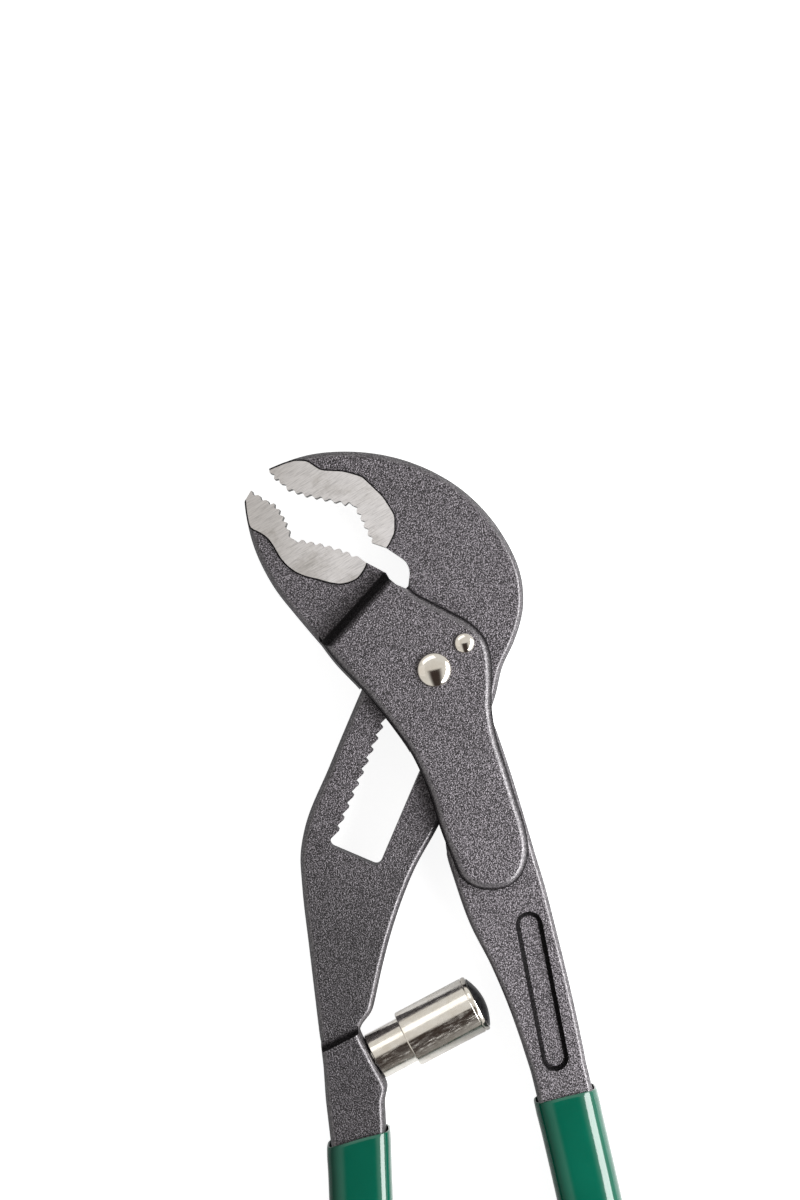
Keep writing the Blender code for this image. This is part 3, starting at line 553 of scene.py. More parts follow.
# upper jaw, racked bar and left handle, one forging
upperJaw = {
    "crown": [
        (-36.6, 34.4), (-35.6, 37.2), (-33.0, 39.4), (-30.8, 40.9), (-26.8, 42.4), (-16.8, 43.5),
        (-4.8, 41.4), (5.3, 36.1), (13.5, 27.2), (17.5, 18.2), (17.9, 13.0), (15.9, 5.2),
        (13.7, 0.6), slotSpot(13.4, 0.0), slotSpot(13.4, -14.0), slotSpot(13.1, -28.7),
        slotSpot(12.1, -38.3), (-5.9, -44.8), (-8.4, -52.2), (-10.5, -60.2), (-11.8, -66.2),
        (-12.4, -68.8)],
    "foot": [(-15.0, -71.4), (-15.2, -78.5), (-16.6, -81.0), (-19.0, -81.0), (-21.2, -78.6)],
    "leftSide": [
        (-22.7, -74.6), (-23.5, -68.0), (-24.9, -56.2), (-26.4, -43.0), (-26.7, -36.8),
        (-25.9, -32.0), slotSpot(-11.6, -26.0), slotSpot(-11.6, 8.0), slotSpot(-11.6, 13.4)],
    "blankMouth": [(-8.2, 20.8), (-15.0, 22.0), (-20.0, 28.0), (-33.0, 30.0)],
    "throat": [
        slotSpot(-11.6, 12.4), (-5.15, 16.6), (-4.85, 19.2), (-5.1, 20.5), (-5.6, 21.4),
        (-6.4, 22.1), (-9.5, 24.2)],
    "tips": [
        (-12.4, 25.2), (-13.2, 26.8), (-14.0, 28.4), (-14.6, 29.8), (-15.4, 31.2), (-16.2, 32.7),
        (-17.8, 32.7), (-19.8, 33.2), (-21.8, 33.6), (-23.6, 34.0), (-25.6, 34.4), (-27.4, 35.0),
        (-29.2, 35.6), (-30.6, 37.0), (-31.8, 37.8), (-32.7, 39.1)],
    "outside": [
        (-33.0, 41.0), (-40.0, 46.0), (-46.0, 30.0), (-30.0, 12.0), slotSpot(-14.0, 12.0)],
    "pad": [
        (-34.6, 39.0), (-32.9, 39.9), (-30.3, 41.0), (-27.9, 41.8), (-25.2, 41.7), (-22.5, 39.85),
        (-18.0, 39.65), (-14.2, 38.55), (-9.95, 34.45), (-7.6, 30.7), (-7.6, 27.1), (-9.1, 24.1)],
    "padMouth": [(-11.0, 22.6), (-14.0, 23.0), (-18.0, 30.5), (-30.5, 33.5), (-35.2, 38.6)],
}
leftHandle = {
    "draft": 0.3, "edge": 1.2, "seamRight": -16.0, "seamLow": -94.0,
    "top": [
        (-21.66, -86.0), (-22.1, -79.4), (-22.7, -74.6), (-21.7, -71.0), (-20.6, -67.6),
        (-19.2, -65.6), (-17.2, -65.2), (-15.6, -66.6)],
    "step": ((-22.74, -75.23), (-15.14, -71.33)), "stepWidth": 2.0, "fades": (0.42, 0.54, 2.0),
}
rack = {"tip": 4.8, "depth": 0.86, "pitch": 2.471, "steep": 0.43, "count": 14, "top": -4.8,
        "right": 5.4, "slotTop": 9.4, "endGap": 1.1, "corner": 1.2, "cornerSteps": 6}
plunger = {"seat": (-11.9, -77.6), "facet": 6.1}


def rackOutline():
    root = rack["tip"] + rack["depth"]
    bottom = rack["top"] - rack["count"] * rack["pitch"] - rack["endGap"]
    corner, quarter = rack["corner"], math.pi / 2
    right, left = rack["right"] - corner, corner - root
    low, high = bottom + corner, rack["slotTop"] - corner

    def roundCorner(across, along, start):
        return arc((across, along), corner, start, start + quarter, rack["cornerSteps"])

    run = roundCorner(right, low, -quarter) + roundCorner(right, high, 0.0)
    run += roundCorner(left, high, quarter)
    run.append((-root, rack["top"] + rack["steep"]))
    for i in range(rack["count"]):
        tip = rack["top"] - i * rack["pitch"]
        run += [(-rack["tip"], tip), (-root, tip - rack["pitch"] + rack["steep"])]
    run += roundCorner(left, low, 2 * quarter)
    return [slotSpot(*spot) for spot in run]


def makeUpperJaw():
    outline = curveThrough(upperJaw["crown"]) + upperJaw["foot"]
    outline += curveThrough(upperJaw["leftSide"]) + upperJaw["blankMouth"]
    bar = forgedSlab("upper_jaw_and_left_handle", outline, jaws["half"], jaws["draft"],
                     jaws["edge"], skin=leftShadedForging)
    # thick handle, drawn past its step and cut back there
    facet = Vector((math.sin(plungerLean), -math.cos(plungerLean))) * plunger["facet"]
    seat = Vector(plunger["seat"])
    top = leftHandle["top"] + [tuple(seat - facet), tuple(seat + facet)]
    shank = [(x, y) for x, y in handleOutline("left")
             if x > leftHandle["seamRight"] or y < leftHandle["seamLow"]]
    handle = forgedSlab("left_handle_blank", top + shank, handles["thickHalf"],
                        leftHandle["draft"], leftHandle["edge"], handles["rounds"],
                        skin=leftShadedForging)
    cutSteps(handle, "left_step", leftHandle, handles["thickHalf"], True)
    carve(bar, handle, "UNION")
    carve(bar, padSlab("upper_pad", upperJaw["pad"] + upperJaw["padMouth"]), "UNION")
    mouth = upperJaw["throat"] + teeth(upperJaw["tips"])
    cutOut(bar, "upper_mouth", mouth + upperJaw["outside"], finish=cutSteel)
    cutOut(bar, "rack_slot", rackOutline())
    settle(bar, "fixed_side", "upper_jaw_handle")


makeUpperJaw()


# lower jaw and the two cheeks of the joint
lowerJaw = {
    "outer": [
        (-38.0, 36.5), (-37.9, 33.6), (-37.6, 31.2), (-37.0, 27.8), (-35.8, 23.8), (-33.8, 19.4),
        (-31.4, 15.4), (-28.2, 11.4), (-22.8, 5.0), (-18.4, 0.0)],
    "blankInside": [
        (-15.0, 0.4), (-8.0, 6.0), (-5.0, 14.0), (-6.0, 19.5), (-11.0, 24.5), (-24.0, 29.0),
        (-29.0, 35.0), (-33.0, 38.4), (-36.6, 38.6)],
    "tips": [
        (-36.4, 35.6), (-34.8, 34.6), (-33.2, 33.6), (-31.8, 33.0), (-30.8, 31.8), (-30.0, 30.4),
        (-29.4, 29.2), (-28.8, 27.6), (-28.0, 25.8), (-26.2, 25.8), (-24.4, 25.4), (-22.6, 25.1),
        (-20.8, 24.6), (-18.8, 24.0), (-17.2, 23.4), (-15.2, 22.5)],
    "throat": [(-13.6, 21.3), (-9.6, 19.2), (-8.9, 18.0), (-7.6, 16.9), (-5.2, 15.9)],
    "outside": [
        (-4.4, 17.4), (0.0, 32.0), (-20.0, 48.0), (-44.0, 48.0), (-44.0, 33.2), (-37.8, 33.2)],
    "pad": [
        (-37.6, 35.6), (-37.75, 33.4), (-37.5, 31.2), (-37.0, 28.4), (-36.4, 27.7), (-35.2, 27.2),
        (-33.8, 26.4), (-32.8, 25.4), (-31.8, 23.8), (-30.8, 22.0), (-29.4, 20.4), (-27.8, 19.2),
        (-25.8, 18.3), (-23.2, 17.7), (-20.8, 17.0), (-18.8, 16.7), (-17.0, 17.0), (-15.2, 17.8),
        (-14.1, 19.1), (-13.1, 21.0)],
    "padMouth": [(-13.2, 24.0), (-24.0, 28.0), (-29.0, 36.0), (-36.5, 38.0)],
}
# on the cheeks the lower rounding is painted dark shade, for the shadow under the plate's edge
cheeks = {
    "outer": 8.0, "draft": 0.55, "edge": 1.8, "rounds": 5, "bands": (1, 3, 3, 1, 2, 2, 0),
    "outline": [
        (-3.9, 15.8), (-2.8, 15.2), (3.2, 12.1), (7.2, 9.9), (9.2, 8.2), (10.8, 6.0), (11.7, 3.0),
        (12.0, -1.0), (12.0, -8.2), (12.7, -12.4), (14.6, -18.6), (16.8, -25.6), (18.6, -31.4),
        (19.2, -35.2), (18.9, -38.2), (17.6, -41.2), (15.2, -43.4), (11.2, -44.2), (7.2, -43.4),
        (4.8, -41.4), (3.2, -38.0), (0.5, -31.2), (-1.2, -25.6), (-3.2, -20.6), (-5.1, -16.8),
        (-8.4, -12.0), (-14.4, -4.6), (-20.2, 1.6), (-22.6, 4.8), (-23.6, 6.2)],
    "pastStep": [(-22.0, 9.5), (-13.0, 24.0), (-9.0, 21.0), (-7.0, 19.0), (-5.2, 17.4)],
    "step": ((-21.2, 4.8), (-8.9, 18.3)), "stepWidth": 2.8, "fades": (0.58, 0.74, 0.9),
    "pivotHole": 2.7, "guideHole": 1.4,
}
rightHandle = {
    "draft": 0.12, "edge": 1.2, "eye": 6.3, "eyeHole": 2.8, "eyeSteps": 24,
    "rightSide": [
        (12.4, -12.0), (14.8, -19.0), (18.5, -31.0), (20.2, -36.8), (22.2, -43.4), (24.2, -51.2),
        (26.2, -59.2), (28.2, -67.8), (29.9, -75.8)],
    "leftSide": [
        (17.2, -73.8), (15.2, -68.2), (11.2, -58.8), (7.2, -51.0), (4.2, -42.6), (2.4, -36.4),
        (2.2, -30.0)],
}
way = {"half": 4.3, "left": 11.9, "right": 13.6, "reach": 80.0, "squeeze": math.radians(5.5),
       "jawSwing": math.radians(0.5), "handleSwing": math.radians(24.0)}
pocket = {"half": 6.2, "eye": 6.6, "start": math.radians(200.0), "reach": 80.0,
          "inside": (-3.5, -30.0)}
guideSpot = slotSpot(3.4, 7.2)


def turned(spot, angle):
    return tuple(Matrix.Rotation(angle, 2) @ Vector(spot))


def barWay(swing):
    # room for the bar over its turn to either side
    reach, squeeze = way["reach"], way["squeeze"]
    corner = slotSpot(-way["left"] / math.cos((squeeze + swing) / 2), 0.0)
    apex = Vector(turned(corner, (squeeze - swing) / 2))
    upper = apex + Vector(turned(slotSpot(0.0, reach), squeeze))
    lower = apex + Vector(turned(slotSpot(0.0, -reach), -swing))
    far = [turned(slotSpot(way["right"], end), squeeze) for end in (reach, -reach)]
    return [tuple(apex), tuple(upper), *far, tuple(lower)]


def touchTurn(spot, side):
    # where on the eye a line from the spot touches it
    eye = rightHandle["eye"]
    return math.atan2(spot[1], spot[0]) + side * math.acos(eye / math.hypot(*spot))


def eyePocket():
    # room between the cheeks for the right handle's eye
    reach = pocket["reach"]
    leave = touchTurn(rightHandle["rightSide"][0], 1.0) + way["handleSwing"]
    run = arc((0.0, 0.0), pocket["eye"], pocket["start"], leave, rightHandle["eyeSteps"])
    high = Vector(run[-1]) + reach * Vector((math.sin(leave), -math.cos(leave)))
    return run + [tuple(high), (reach, -reach), (0.0, -reach), pocket["inside"]]


def makeLowerJaw():
    outline = curveThrough(cheeks["outline"]) + cheeks["pastStep"]
    cheek = forgedSlab("lower_jaw_and_cheeks", outline, cheeks["outer"], cheeks["draft"],
                       cheeks["edge"], cheeks["rounds"], cheeks["bands"])
    cutSteps(cheek, "jaw_step", cheeks, cheeks["outer"], False)
    outline = curveThrough(lowerJaw["outer"]) + lowerJaw["blankInside"]
    jaw = forgedSlab("jaw_blank", outline, jaws["half"], jaws["draft"], jaws["edge"])
    carve(jaw, padSlab("lower_pad", lowerJaw["pad"] + lowerJaw["padMouth"]), "UNION")
    carve(cheek, jaw, "UNION")
    mouth = teeth(lowerJaw["tips"]) + lowerJaw["throat"]
    cutOut(cheek, "lower_mouth", mouth + lowerJaw["outside"], finish=cutSteel)
    cutOut(cheek, "bar_way", barWay(way["jawSwing"]), way["half"])
    cutOut(cheek, "eye_pocket", eyePocket(), pocket["half"])
    drill(cheek, "pivot_hole", cheeks["pivotHole"])
    drill(cheek, "guide_hole", cheeks["guideHole"], guideSpot)
    settle(cheek, "moving_jaw", "lower_jaw")


makeLowerJaw()


# long hollow in the right handle, with its walls as steps in and down
recess = {"middle": (21.4, -63.8), "lean": math.radians(11.1), "length": 32.0, "width": 5.2,
          "grow": 0.35, "above": 0.4, "endSteps": 16,
          "wall": [(0.25, 0.38), (0.15, 0.16), (0.22, 0.55), (0.25, 0.3), (0.32, 0.12)]}


def recessOutline():
    lean, centre = recess["lean"], Vector(recess["middle"])
    radius = recess["width"] / 2 + recess["grow"]
    half = Vector((math.sin(lean), -math.cos(lean))) * ((recess["length"] - recess["width"]) / 2)
    run = arc(tuple(centre + half), radius, lean - math.pi, lean, recess["endSteps"])
    return run + arc(tuple(centre - half), radius, lean, lean + math.pi, recess["endSteps"])


def recessCutter():
    # round shoulder, sloping walls and a round foot
    bm = bmesh.new()
    face = outlineFace(bm, recessOutline(), 0, handles["thickHalf"] + recess["above"])
    bmesh.ops.reverse_faces(bm, faces=[face])
    lid = bmesh.ops.extrude_face_region(bm, geom=[face], use_keep_orig=True)["geom"]
    low = next(item for item in lid if isinstance(item, bmesh.types.BMFace))
    for drawn, drop in recess["wall"]:
        # the walls get painted dark shade
        for wall in inset(bm, low, drawn, drop):
            wall.material_index = 1
    return toObject(bm, "recess_cutter", [blackForging, shadeDark])


def makeRightHandle():
    # an ear on each side of the bar
    rightSide, leftSide = rightHandle["rightSide"], rightHandle["leftSide"]
    leave, meet = touchTurn(rightSide[0], 1.0), touchTurn(leftSide[-1], -1.0)
    outline = curveThrough(rightSide) + handleOutline("right") + curveThrough(leftSide)
    outline += arc((0.0, 0.0), rightHandle["eye"], meet + 2 * math.pi, leave,
                   rightHandle["eyeSteps"])
    handle = forgedSlab("right_handle_forging", outline, handles["thickHalf"],
                        rightHandle["draft"], rightHandle["edge"], handles["rounds"])
    cutOut(handle, "handle_way", barWay(way["handleSwing"]), way["half"])
    carve(handle, recessCutter(), "DIFFERENCE")
    drill(handle, "eye_hole", rightHandle["eyeHole"])
    settle(handle, "moving_handle", "right_handle")


makeRightHandle()


# dipped grips
grips = {
    "halfWidth": 6.4, "halfHeight": 6.65, "wall": 0.5, "sides": 80, "lip": 0.22, "pastEnd": 7.85,
    "lineSteps": 160, "lipTurns": (0.0, 45.0, 90.0, 135.0, 180.0), "sharp": 80.0,
    "toe": [(3.4, 0.35), (4.4, 0.8)], "innerRings": 40, "innerStart": 0.3, "innerEnd": 6.5,
    "innerFade": 4, "outerRings": 60, "outerStart": 0.5, "outerFade": 6,
    "bead": 0.08, "beadRing": 1.0, "beadWidth": 1.2, "endDome": 5.0, "domeRings": 10,
    "domePower": 0.75, "domeTip": 0.04, "domeFlat": 0.25, "domeEnd": 0.3,
    "left": {"start": 7.6, "slant": -0.23, "bow": 0.35, "square": 4.2},
    "right": {"start": 6.0, "slant": 0.0, "bow": 0.3, "square": 3.6},
}


def makeGrip(side, body):
    own = grips[side]
    line = handleLine(side, grips["lineSteps"])
    travelled = [0.0]
    for a, b in zip(line, line[1:]):
        travelled.append(travelled[-1] + (b - a).length)

    def spotAt(distance):
        # past the end of the line the grip runs straight on
        i = max(k for k in range(len(line) - 1) if travelled[k] <= max(0.0, distance))
        along = (line[i + 1] - line[i]).normalized()
        return line[i] + along * (distance - travelled[i]), along

    bm = bmesh.new()
    sideLayer = bm.verts.layers.float.new("side")
    rings = []

    def addRing(distance, halfWidth, halfHeight, mouth=0.0):
        ring = bmesh.ops.create_circle(bm, segments=grips["sides"], radius=1.0)["verts"]
        power = 2.0 / own["square"]
        for vert in ring:
            across, up = vert.co.x, vert.co.y
            wide = math.copysign(abs(across) ** power, across) * halfWidth
            tall = math.copysign(abs(up) ** power, up) * halfHeight
            share = wide / grips["halfWidth"]
            slide = own["slant"] * wide - own["bow"] * (1.0 - share * share)
            spot, along = spotAt(distance + mouth * slide)
            place = spot + Vector((-along.y, along.x)) * wide
            vert.co = (place.x * mm, place.y * mm, tall * mm)
            vert[sideLayer] = share
        rings.append(ring)

    wide, high, wall = grips["halfWidth"], grips["halfHeight"], grips["wall"]
    start, end = own["start"], travelled[-1] + grips["pastEnd"]
    # up the inside, round the lip and down the outside
    for back, share in grips["toe"]:
        addRing(end - back, (wide - wall) * share, high - wall)
    length = end - grips["innerEnd"] - start
    for i in range(grips["innerRings"], -1, -1):
        addRing(start + grips["innerStart"] + length * i / grips["innerRings"], wide - wall,
                high - wall, max(0.0, 1.0 - i / grips["innerFade"]))
    for turn in grips["lipTurns"]:
        fold = wall / 2 * math.cos(math.radians(turn))
        rise = grips["lip"] * math.sin(math.radians(turn))
        addRing(start - rise, wide - wall / 2 - fold, high - wall / 2 - fold, 1.0)
    length = end - grips["endDome"] - start - grips["outerStart"]
    for i in range(grips["outerRings"] + 1):
        bead = grips["bead"] * math.exp(-((i - grips["beadRing"]) / grips["beadWidth"]) ** 2)
        addRing(start + grips["outerStart"] + length * i / grips["outerRings"], wide + bead,
                high + bead, max(0.0, 1.0 - i / grips["outerFade"]))
    flat = grips["domeFlat"]
    for i in range(1, grips["domeRings"] + 1):
        angle = math.pi / 2 * i / grips["domeRings"]
        shrink = max(grips["domeTip"], math.cos(angle) ** grips["domePower"])
        lower = flat + (1.0 - flat) * shrink if i < grips["domeRings"] else grips["domeEnd"]
        addRing(end - grips["endDome"] * (1.0 - math.sin(angle)), wide * shrink, high * lower)
    loops = []
    for ring in rings:
        chosen = set(ring)
        loops.append([edge for edge in bm.edges if chosen.issuperset(edge.verts)])
    for first, second in zip(loops, loops[1:]):
        bmesh.ops.bridge_loops(bm, edges=first + second)
    for loop in (loops[0], loops[-1]):
        bmesh.ops.edgeloop_fill(bm, edges=loop)
    grip = toObject(bm, side + "_dipped_grip", [greenVinyl])
    settle(grip, body, side + "_grip", grips["sharp"])


makeGrip("left", "fixed_side")
makeGrip("right", "moving_handle")


def spun(name, profile, finish, place, body, node, closed=False):
    bm = bmesh.new()
    verts = [bm.verts.new((radius * mm, 0.0, height * mm)) for radius, height in profile]
    pairs = list(zip(verts, verts[1:])) + ([(verts[-1], verts[0])] if closed else [])
    edges = [bm.edges.new(pair) for pair in pairs]
    bmesh.ops.spin(bm, geom=verts + edges, cent=(0.0, 0.0, 0.0), axis=(0.0, 0.0, 1.0),
                   angle=2 * math.pi, steps=96, use_merge=True)
    bmesh.ops.transform(bm, matrix=place, verts=bm.verts[:])
    settle(toObject(bm, name, [finish]), body, node, 40.0)


def domed(radius, seat, dome, steps, power=1):
    turns = [math.pi / 2 * i / steps for i in range(steps + 1)]
    return [(radius * math.sin(turn), seat + dome * math.cos(turn) ** power) for turn in turns]


rivets = {
    "seat": 8.02, "back": -7.9, "soft": 0.08, "backSoft": 0.25, "backFlat": 0.4,
    "backBulge": (0.06, 0.08), "domeSteps": 14,
    "pivot_rivet": {"head": 3.4, "rim": 0.35, "dome": 1.15, "shank": 2.6, "node": "pivot_pin",
                    "place": (0.0, 0.0)},
    "guide_rivet": {"head": 2.0, "rim": 0.25, "dome": 0.85, "shank": 1.3, "node": "guide_pin",
                    "place": guideSpot},
}


def makeRivet(name):
    rivet = rivets[name]
    seat, back, soft = rivets["seat"], rivets["back"], rivets["soft"]
    head, shank, backSoft = rivet["head"], rivet["shank"], rivets["backSoft"]
    ring, middle = rivets["backBulge"]
    profile = domed(head, seat + rivet["rim"], rivet["dome"], rivets["domeSteps"])
    profile += [(head, seat + soft), (head - soft, seat), (shank, seat), (shank, back + backSoft)]
    profile += [(shank - backSoft, back), (shank * rivets["backFlat"], back - ring),
                (0.0, back - middle)]
    place = Matrix.Translation((rivet["place"][0] * mm, rivet["place"][1] * mm, 0.0))
    spun(name, profile, brightNickel, place, "moving_jaw", rivet["node"])


makeRivet("pivot_rivet")
makeRivet("guide_rivet")

plungerParts = {
    "tube": 4.75, "bore": 3.65, "boreFoot": 1.3, "collar": 5.1, "collarGap": 0.3, "collarEnd": 1.8,
    "foot": 0.12, "footSoft": 0.18, "stem": 2.5, "stemEnd": -6.0,
    "sleeveStart": 7.5, "sleeveLength": 14.7, "sleeveIn": 5.3, "sleeveOut": 5.85, "lip": 1.5,
    "play": 0.12, "soft": 0.1, "mouthSoft": (0.08, 0.25), "mouthRise": 0.3,
    "cap": 0.9, "plug": 0.9, "gap": 0.2, "capHole": 1.7, "capSoft": (0.08, 0.25, 0.35),
    "bumper": 5.2, "bumperGap": 0.1, "bumperRim": 0.12, "bumperDome": 1.35, "bumperStem": 1.5,
    "domeSteps": 12,
}


def plungerPlace():
    lean = Matrix.Rotation(plungerLean, 4, "Z") @ Matrix.Rotation(math.pi / 2, 4, "Y")
    x, y = plunger["seat"]
    return Matrix.Translation((x * mm, y * mm, 0.0)) @ lean


def makePlunger():
    part, place = plungerParts, plungerPlace()
    radius, bore, collar, stem = part["tube"], part["bore"], part["collar"], part["stem"]
    play, soft, foot = part["play"], part["soft"], part["foot"]
    start, end = part["sleeveStart"], part["sleeveStart"] + part["sleeveLength"]
    lipEnd = start + part["lip"]
    collarLow, collarHigh = lipEnd + part["collarGap"], lipEnd + part["collarEnd"]
    tube = [(0.0, part["boreFoot"]), (bore, part["boreFoot"]), (bore, collarHigh),
            (collar, collarHigh), (collar, collarLow), (radius, collarLow),
            (radius, foot + part["footSoft"]), (radius - part["footSoft"], foot), (stem, foot),
            (stem, part["stemEnd"]), (0.0, part["stemEnd"])]
    spun("plunger_tube", tube, wornNickel, place, "fixed_side", "plunger_guide")

    inner, outer = part["sleeveIn"], part["sleeveOut"]
    edge, rim = part["mouthSoft"]
    sleeve = [(outer - soft, end), (outer, end - play), (outer, start + part["mouthRise"]),
              (outer - edge, start + soft), (outer - rim, start), (radius + play, start),
              (radius + play, lipEnd), (inner, lipEnd), (inner, end)]
    spun("plunger_sleeve_shell", sleeve, wornNickel, place, "plunger",
         "plunger_sleeve", True)

    capLow = end + play
    capHigh, plugEnd = capLow + part["cap"], capLow - part["plug"]
    plug, hole = inner - part["gap"], part["capHole"]
    edge, rim, flat = part["capSoft"]
    cap = [(outer - flat, capHigh), (outer - soft, capHigh - edge), (outer, capHigh - rim),
           (outer, capLow + soft), (outer - soft, capLow), (plug, capLow), (plug, plugEnd),
           (hole, plugEnd), (hole, capHigh)]
    spun("plunger_cap_ring", cap, brightNickel, place, "plunger",
         "plunger_cap", True)

    seat, stem = capHigh + part["bumperGap"], part["bumperStem"]
    bumper = domed(part["bumper"], seat + part["bumperRim"], part["bumperDome"],
                   part["domeSteps"], 2)
    bumper += [(part["bumper"], seat), (stem, seat), (stem, plugEnd), (0.0, plugEnd)]
    spun("plunger_bumper_dome", bumper, blackBumper, place, "plunger",
         "plunger_bumper")


makePlunger()


def bendBetween(piece, node):
    smoothed(piece, 50.0)
    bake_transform(piece)
    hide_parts(node)


coil = {"radius": 2.95, "wire": 0.4, "sides": 10, "turns": 7, "steps": 36, "low": 2.0,
        "high": 20.8}


def makeCoil():
    # stands in the tube and on the cap
    steps = coil["turns"] * coil["steps"]
    rise = (coil["high"] - coil["low"]) / steps * mm
    bm = bmesh.new()
    upright = Matrix.Rotation(math.pi / 2, 4, "X")
    across = Matrix.Translation((coil["radius"] * mm, 0.0, coil["low"] * mm)) @ upright
    bmesh.ops.create_circle(bm, segments=coil["sides"], radius=coil["wire"] * mm, matrix=across)
    bmesh.ops.spin(bm, geom=bm.verts[:] + bm.edges[:], cent=(0.0, 0.0, 0.0), axis=(0.0, 0.0, 1.0),
                   dvec=(0.0, 0.0, rise), angle=2 * math.pi * coil["turns"], steps=steps)
    bmesh.ops.holes_fill(bm, edges=[edge for edge in bm.edges if edge.is_boundary], sides=0)
    place = plungerPlace()
    bmesh.ops.transform(bm, matrix=place, verts=bm.verts[:])
    piece = toObject(bm, "plunger_coil", [innerSteel])
    bendBetween(piece, "plunger_spring")


makeCoil()

leaf = {"spine": [(4.7, -6.0), (3.8, -8.4), (3.5, -10.0), (4.7, -12.5)], "gap": 0.4, "half": 0.2,
        "low": 0.575, "high": 3.575, "wall": 4.45, "bow": 3.75, "middle": -10.0}


def makeLeaf():
    # its feet are at the plain wall of the slot and its bow is by the pawl
    spine = curveThrough([slotSpot(*spot) for spot in leaf["spine"]], leaf["gap"])
    back, face = bothSides([Vector(spot) for spot in spine], leaf["half"])[:2]
    piece = prism("pawl_leaf", face + back[::-1], leaf["low"], leaf["high"], innerSteel)
    bendBetween(piece, "pawl_spring")


makeLeaf()

# pieces inside the joint keep their own shape
for node in ("pivot_bush", "ratchet_pawl"):
    frame["nodes"][node].data.materials.clear()
    frame["nodes"][node].data.materials.append(innerSteel)
print("pieces made")


studio = {
    "keyPower": 1.0, "keySize": (0.32, 0.12), "keyPlace": (0.165, 0.03, 0.155),
    "fillPower": 0.2, "fillSize": (0.6, 0.8), "fillPlace": (-0.75, 0.0, 0.7),
    "topPower": 0.75, "topSize": (0.8, 0.4), "topPlace": (-0.34, 0.64, 0.72),
    "aim": (-0.01, 0.06, 0.01),
    "floor": 3.0, "floorHeight": -0.0002, "floorTone": (0.62, 0.62, 0.62, 1.0),
    "floorRough": 0.9, "floorGlow": 0.9, "floorGleam": 0.32,
    "room": 0.16, "backdrop": (0.95, 0.95, 0.95, 1.0), "white": (1.0, 1.0, 1.0, 1.0),
    "pale": (0.72, 0.70, 0.66), "card": (0.045, 0.034, 0.029), "cardTurn": math.radians(12.0),
    "cardHalf": (0.14, 0.38), "cardFront": (-0.06, 0.03), "horizon": (-0.02, 0.09),
}


def combined(tree, operation, first, second=0.0):
    node = tree.nodes.new("ShaderNodeMath")
    node.operation = operation
    for socket, value in zip(node.inputs, (first, second)):
        if isinstance(value, float):
            socket.default_value = value
        else:
            tree.links.new(value, socket)
    return node.outputs[0]


def seenBy(tree, *rays):
    # one for these rays, nought for scattered light
    path = tree.nodes.new("ShaderNodeLightPath")
    seen = path.outputs[rays[0]]
    for ray in rays[1:]:
        seen = combined(tree, "MAXIMUM", seen, path.outputs[ray])
    return seen


mirrorRays = ("Is Glossy Ray", "Is Transmission Ray")
cameraRays = ("Is Camera Ray",)


def makeFloor():
    bm = bmesh.new()
    bmesh.ops.create_grid(bm, x_segments=1, y_segments=1, size=studio["floor"])
    mesh = bpy.data.meshes.new("floor")
    bm.to_mesh(mesh)
    bm.free()
    floor = addObject("floor", mesh)
    floor.location.z = studio["floorHeight"]
    finish, tree, shader = newFinish("white_floor", 0.0)
    shader.inputs["Base Color"].default_value = studio["floorTone"]
    shader.inputs["Roughness"].default_value = studio["floorRough"]
    shader.inputs["Emission Color"].default_value = studio["white"]
    shown = combined(tree, "MULTIPLY", seenBy(tree, *cameraRays), studio["floorGlow"])
    mirrored = combined(tree, "MULTIPLY", seenBy(tree, *mirrorRays), studio["floorGleam"])
    glow = combined(tree, "ADD", shown, mirrored)
    tree.links.new(glow, shader.inputs["Emission Strength"])
    mesh.materials.append(finish)


def addSoftbox(side):
    name = side + "_softbox"
    data = bpy.data.lights.new(name, "AREA")
    data.shape = "RECTANGLE"
    data.size, data.size_y = studio[side + "Size"]
    data.energy = studio[side + "Power"]
    lamp = addObject(name, data)
    place = Vector(studio[side + "Place"])
    lamp.location = place
    aim = Vector(studio["aim"]) - place
    lamp.rotation_euler = aim.to_track_quat("-Z", "Y").to_euler()


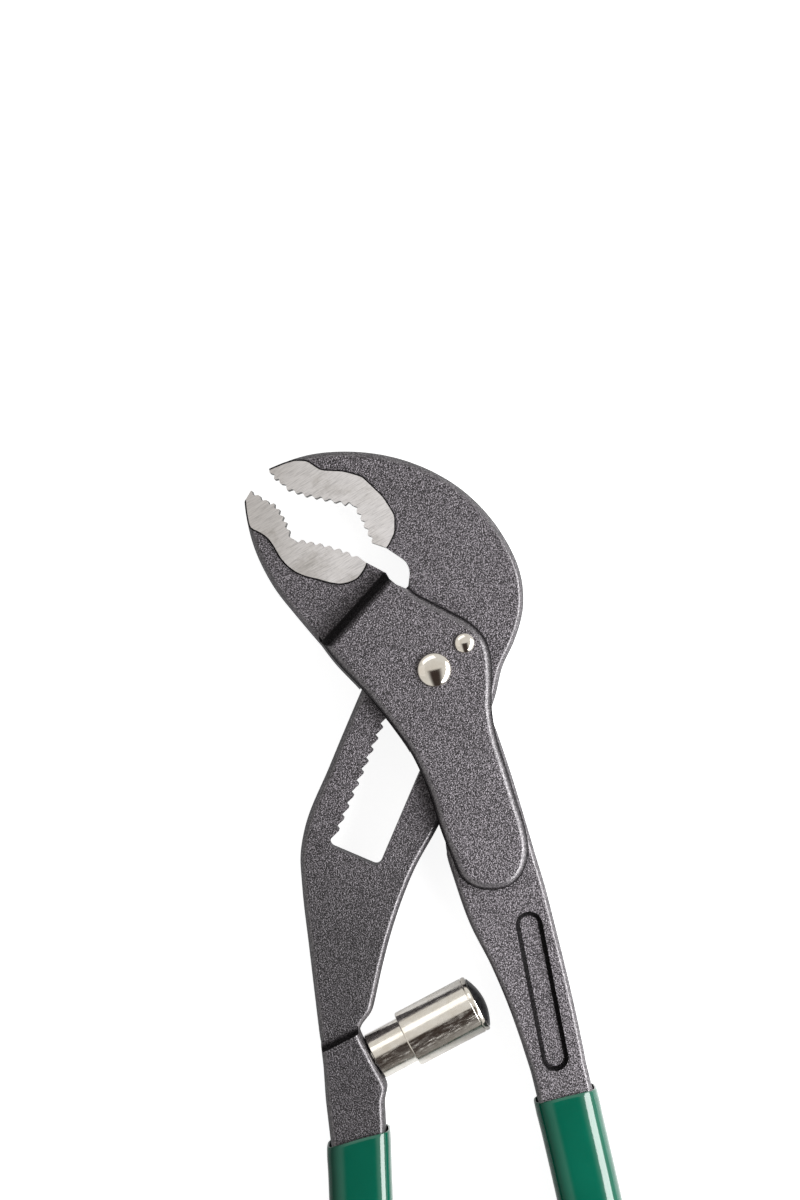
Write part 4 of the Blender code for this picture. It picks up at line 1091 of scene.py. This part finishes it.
def makeWorld():
    # pale room, dark horizon and a dark card over the front, for bright metal to mirror
    world = bpy.data.worlds.new("studio")
    world.use_nodes = True
    tree = world.node_tree
    coords = tree.nodes.new("ShaderNodeTexCoord")
    mapping = tree.nodes.new("ShaderNodeMapping")
    mapping.inputs["Rotation"].default_value = (0.0, 0.0, -studio["cardTurn"])
    split = tree.nodes.new("ShaderNodeSeparateXYZ")
    tree.links.new(coords.outputs["Generated"], mapping.inputs["Vector"])
    tree.links.new(mapping.outputs["Vector"], split.inputs["Vector"])
    across = combined(tree, "ABSOLUTE", split.outputs["X"])
    beside = eased(tree, across, *studio["cardHalf"])
    behind = eased(tree, split.outputs["Y"], *studio["cardFront"])
    above = eased(tree, split.outputs["Z"], *studio["horizon"])
    clear = combined(tree, "MULTIPLY", combined(tree, "MAXIMUM", beside, behind), above)
    background = tree.nodes["Background"]
    background.inputs["Color"].default_value = studio["white"]
    background.inputs["Strength"].default_value = studio["room"]
    reflected = tree.nodes.new("ShaderNodeBackground")
    mirrored = ramp(tree, clear, [(0.0, studio["card"]), (1.0, studio["pale"])])
    tree.links.new(mirrored, reflected.inputs["Color"])
    plain = tree.nodes.new("ShaderNodeBackground")
    plain.inputs["Color"].default_value = studio["backdrop"]
    shown = background.outputs["Background"]
    for rays, other in ((mirrorRays, reflected), (cameraRays, plain)):
        mix = tree.nodes.new("ShaderNodeMixShader")
        tree.links.new(seenBy(tree, *rays), mix.inputs[0])
        tree.links.new(shown, mix.inputs[1])
        tree.links.new(other.outputs["Background"], mix.inputs[2])
        shown = mix.outputs[0]
    tree.links.new(shown, tree.nodes["World Output"].inputs["Surface"])
    bpy.context.scene.world = world


# straight down; the span fills the height of the picture, in mm
view = {"sensor": 36.0, "height": 690.0, "span": 240.0, "right": -6.8, "up": 13.8}


def makeCamera():
    data = bpy.data.cameras.new("camera")
    data.sensor_fit = "VERTICAL"
    data.sensor_height = view["sensor"]
    data.lens = view["sensor"] * view["height"] / view["span"]
    camera = addObject("camera", data)
    camera.location = (pivot.x + view["right"] * mm, pivot.y + view["up"] * mm,
                       pivot.z + view["height"] * mm)
    bpy.context.scene.camera = camera


makeFloor()
for side in ("key", "fill", "top"):
    addSoftbox(side)
makeWorld()
makeCamera()
bpy.context.scene.view_settings.view_transform = "Standard"
print("studio set")
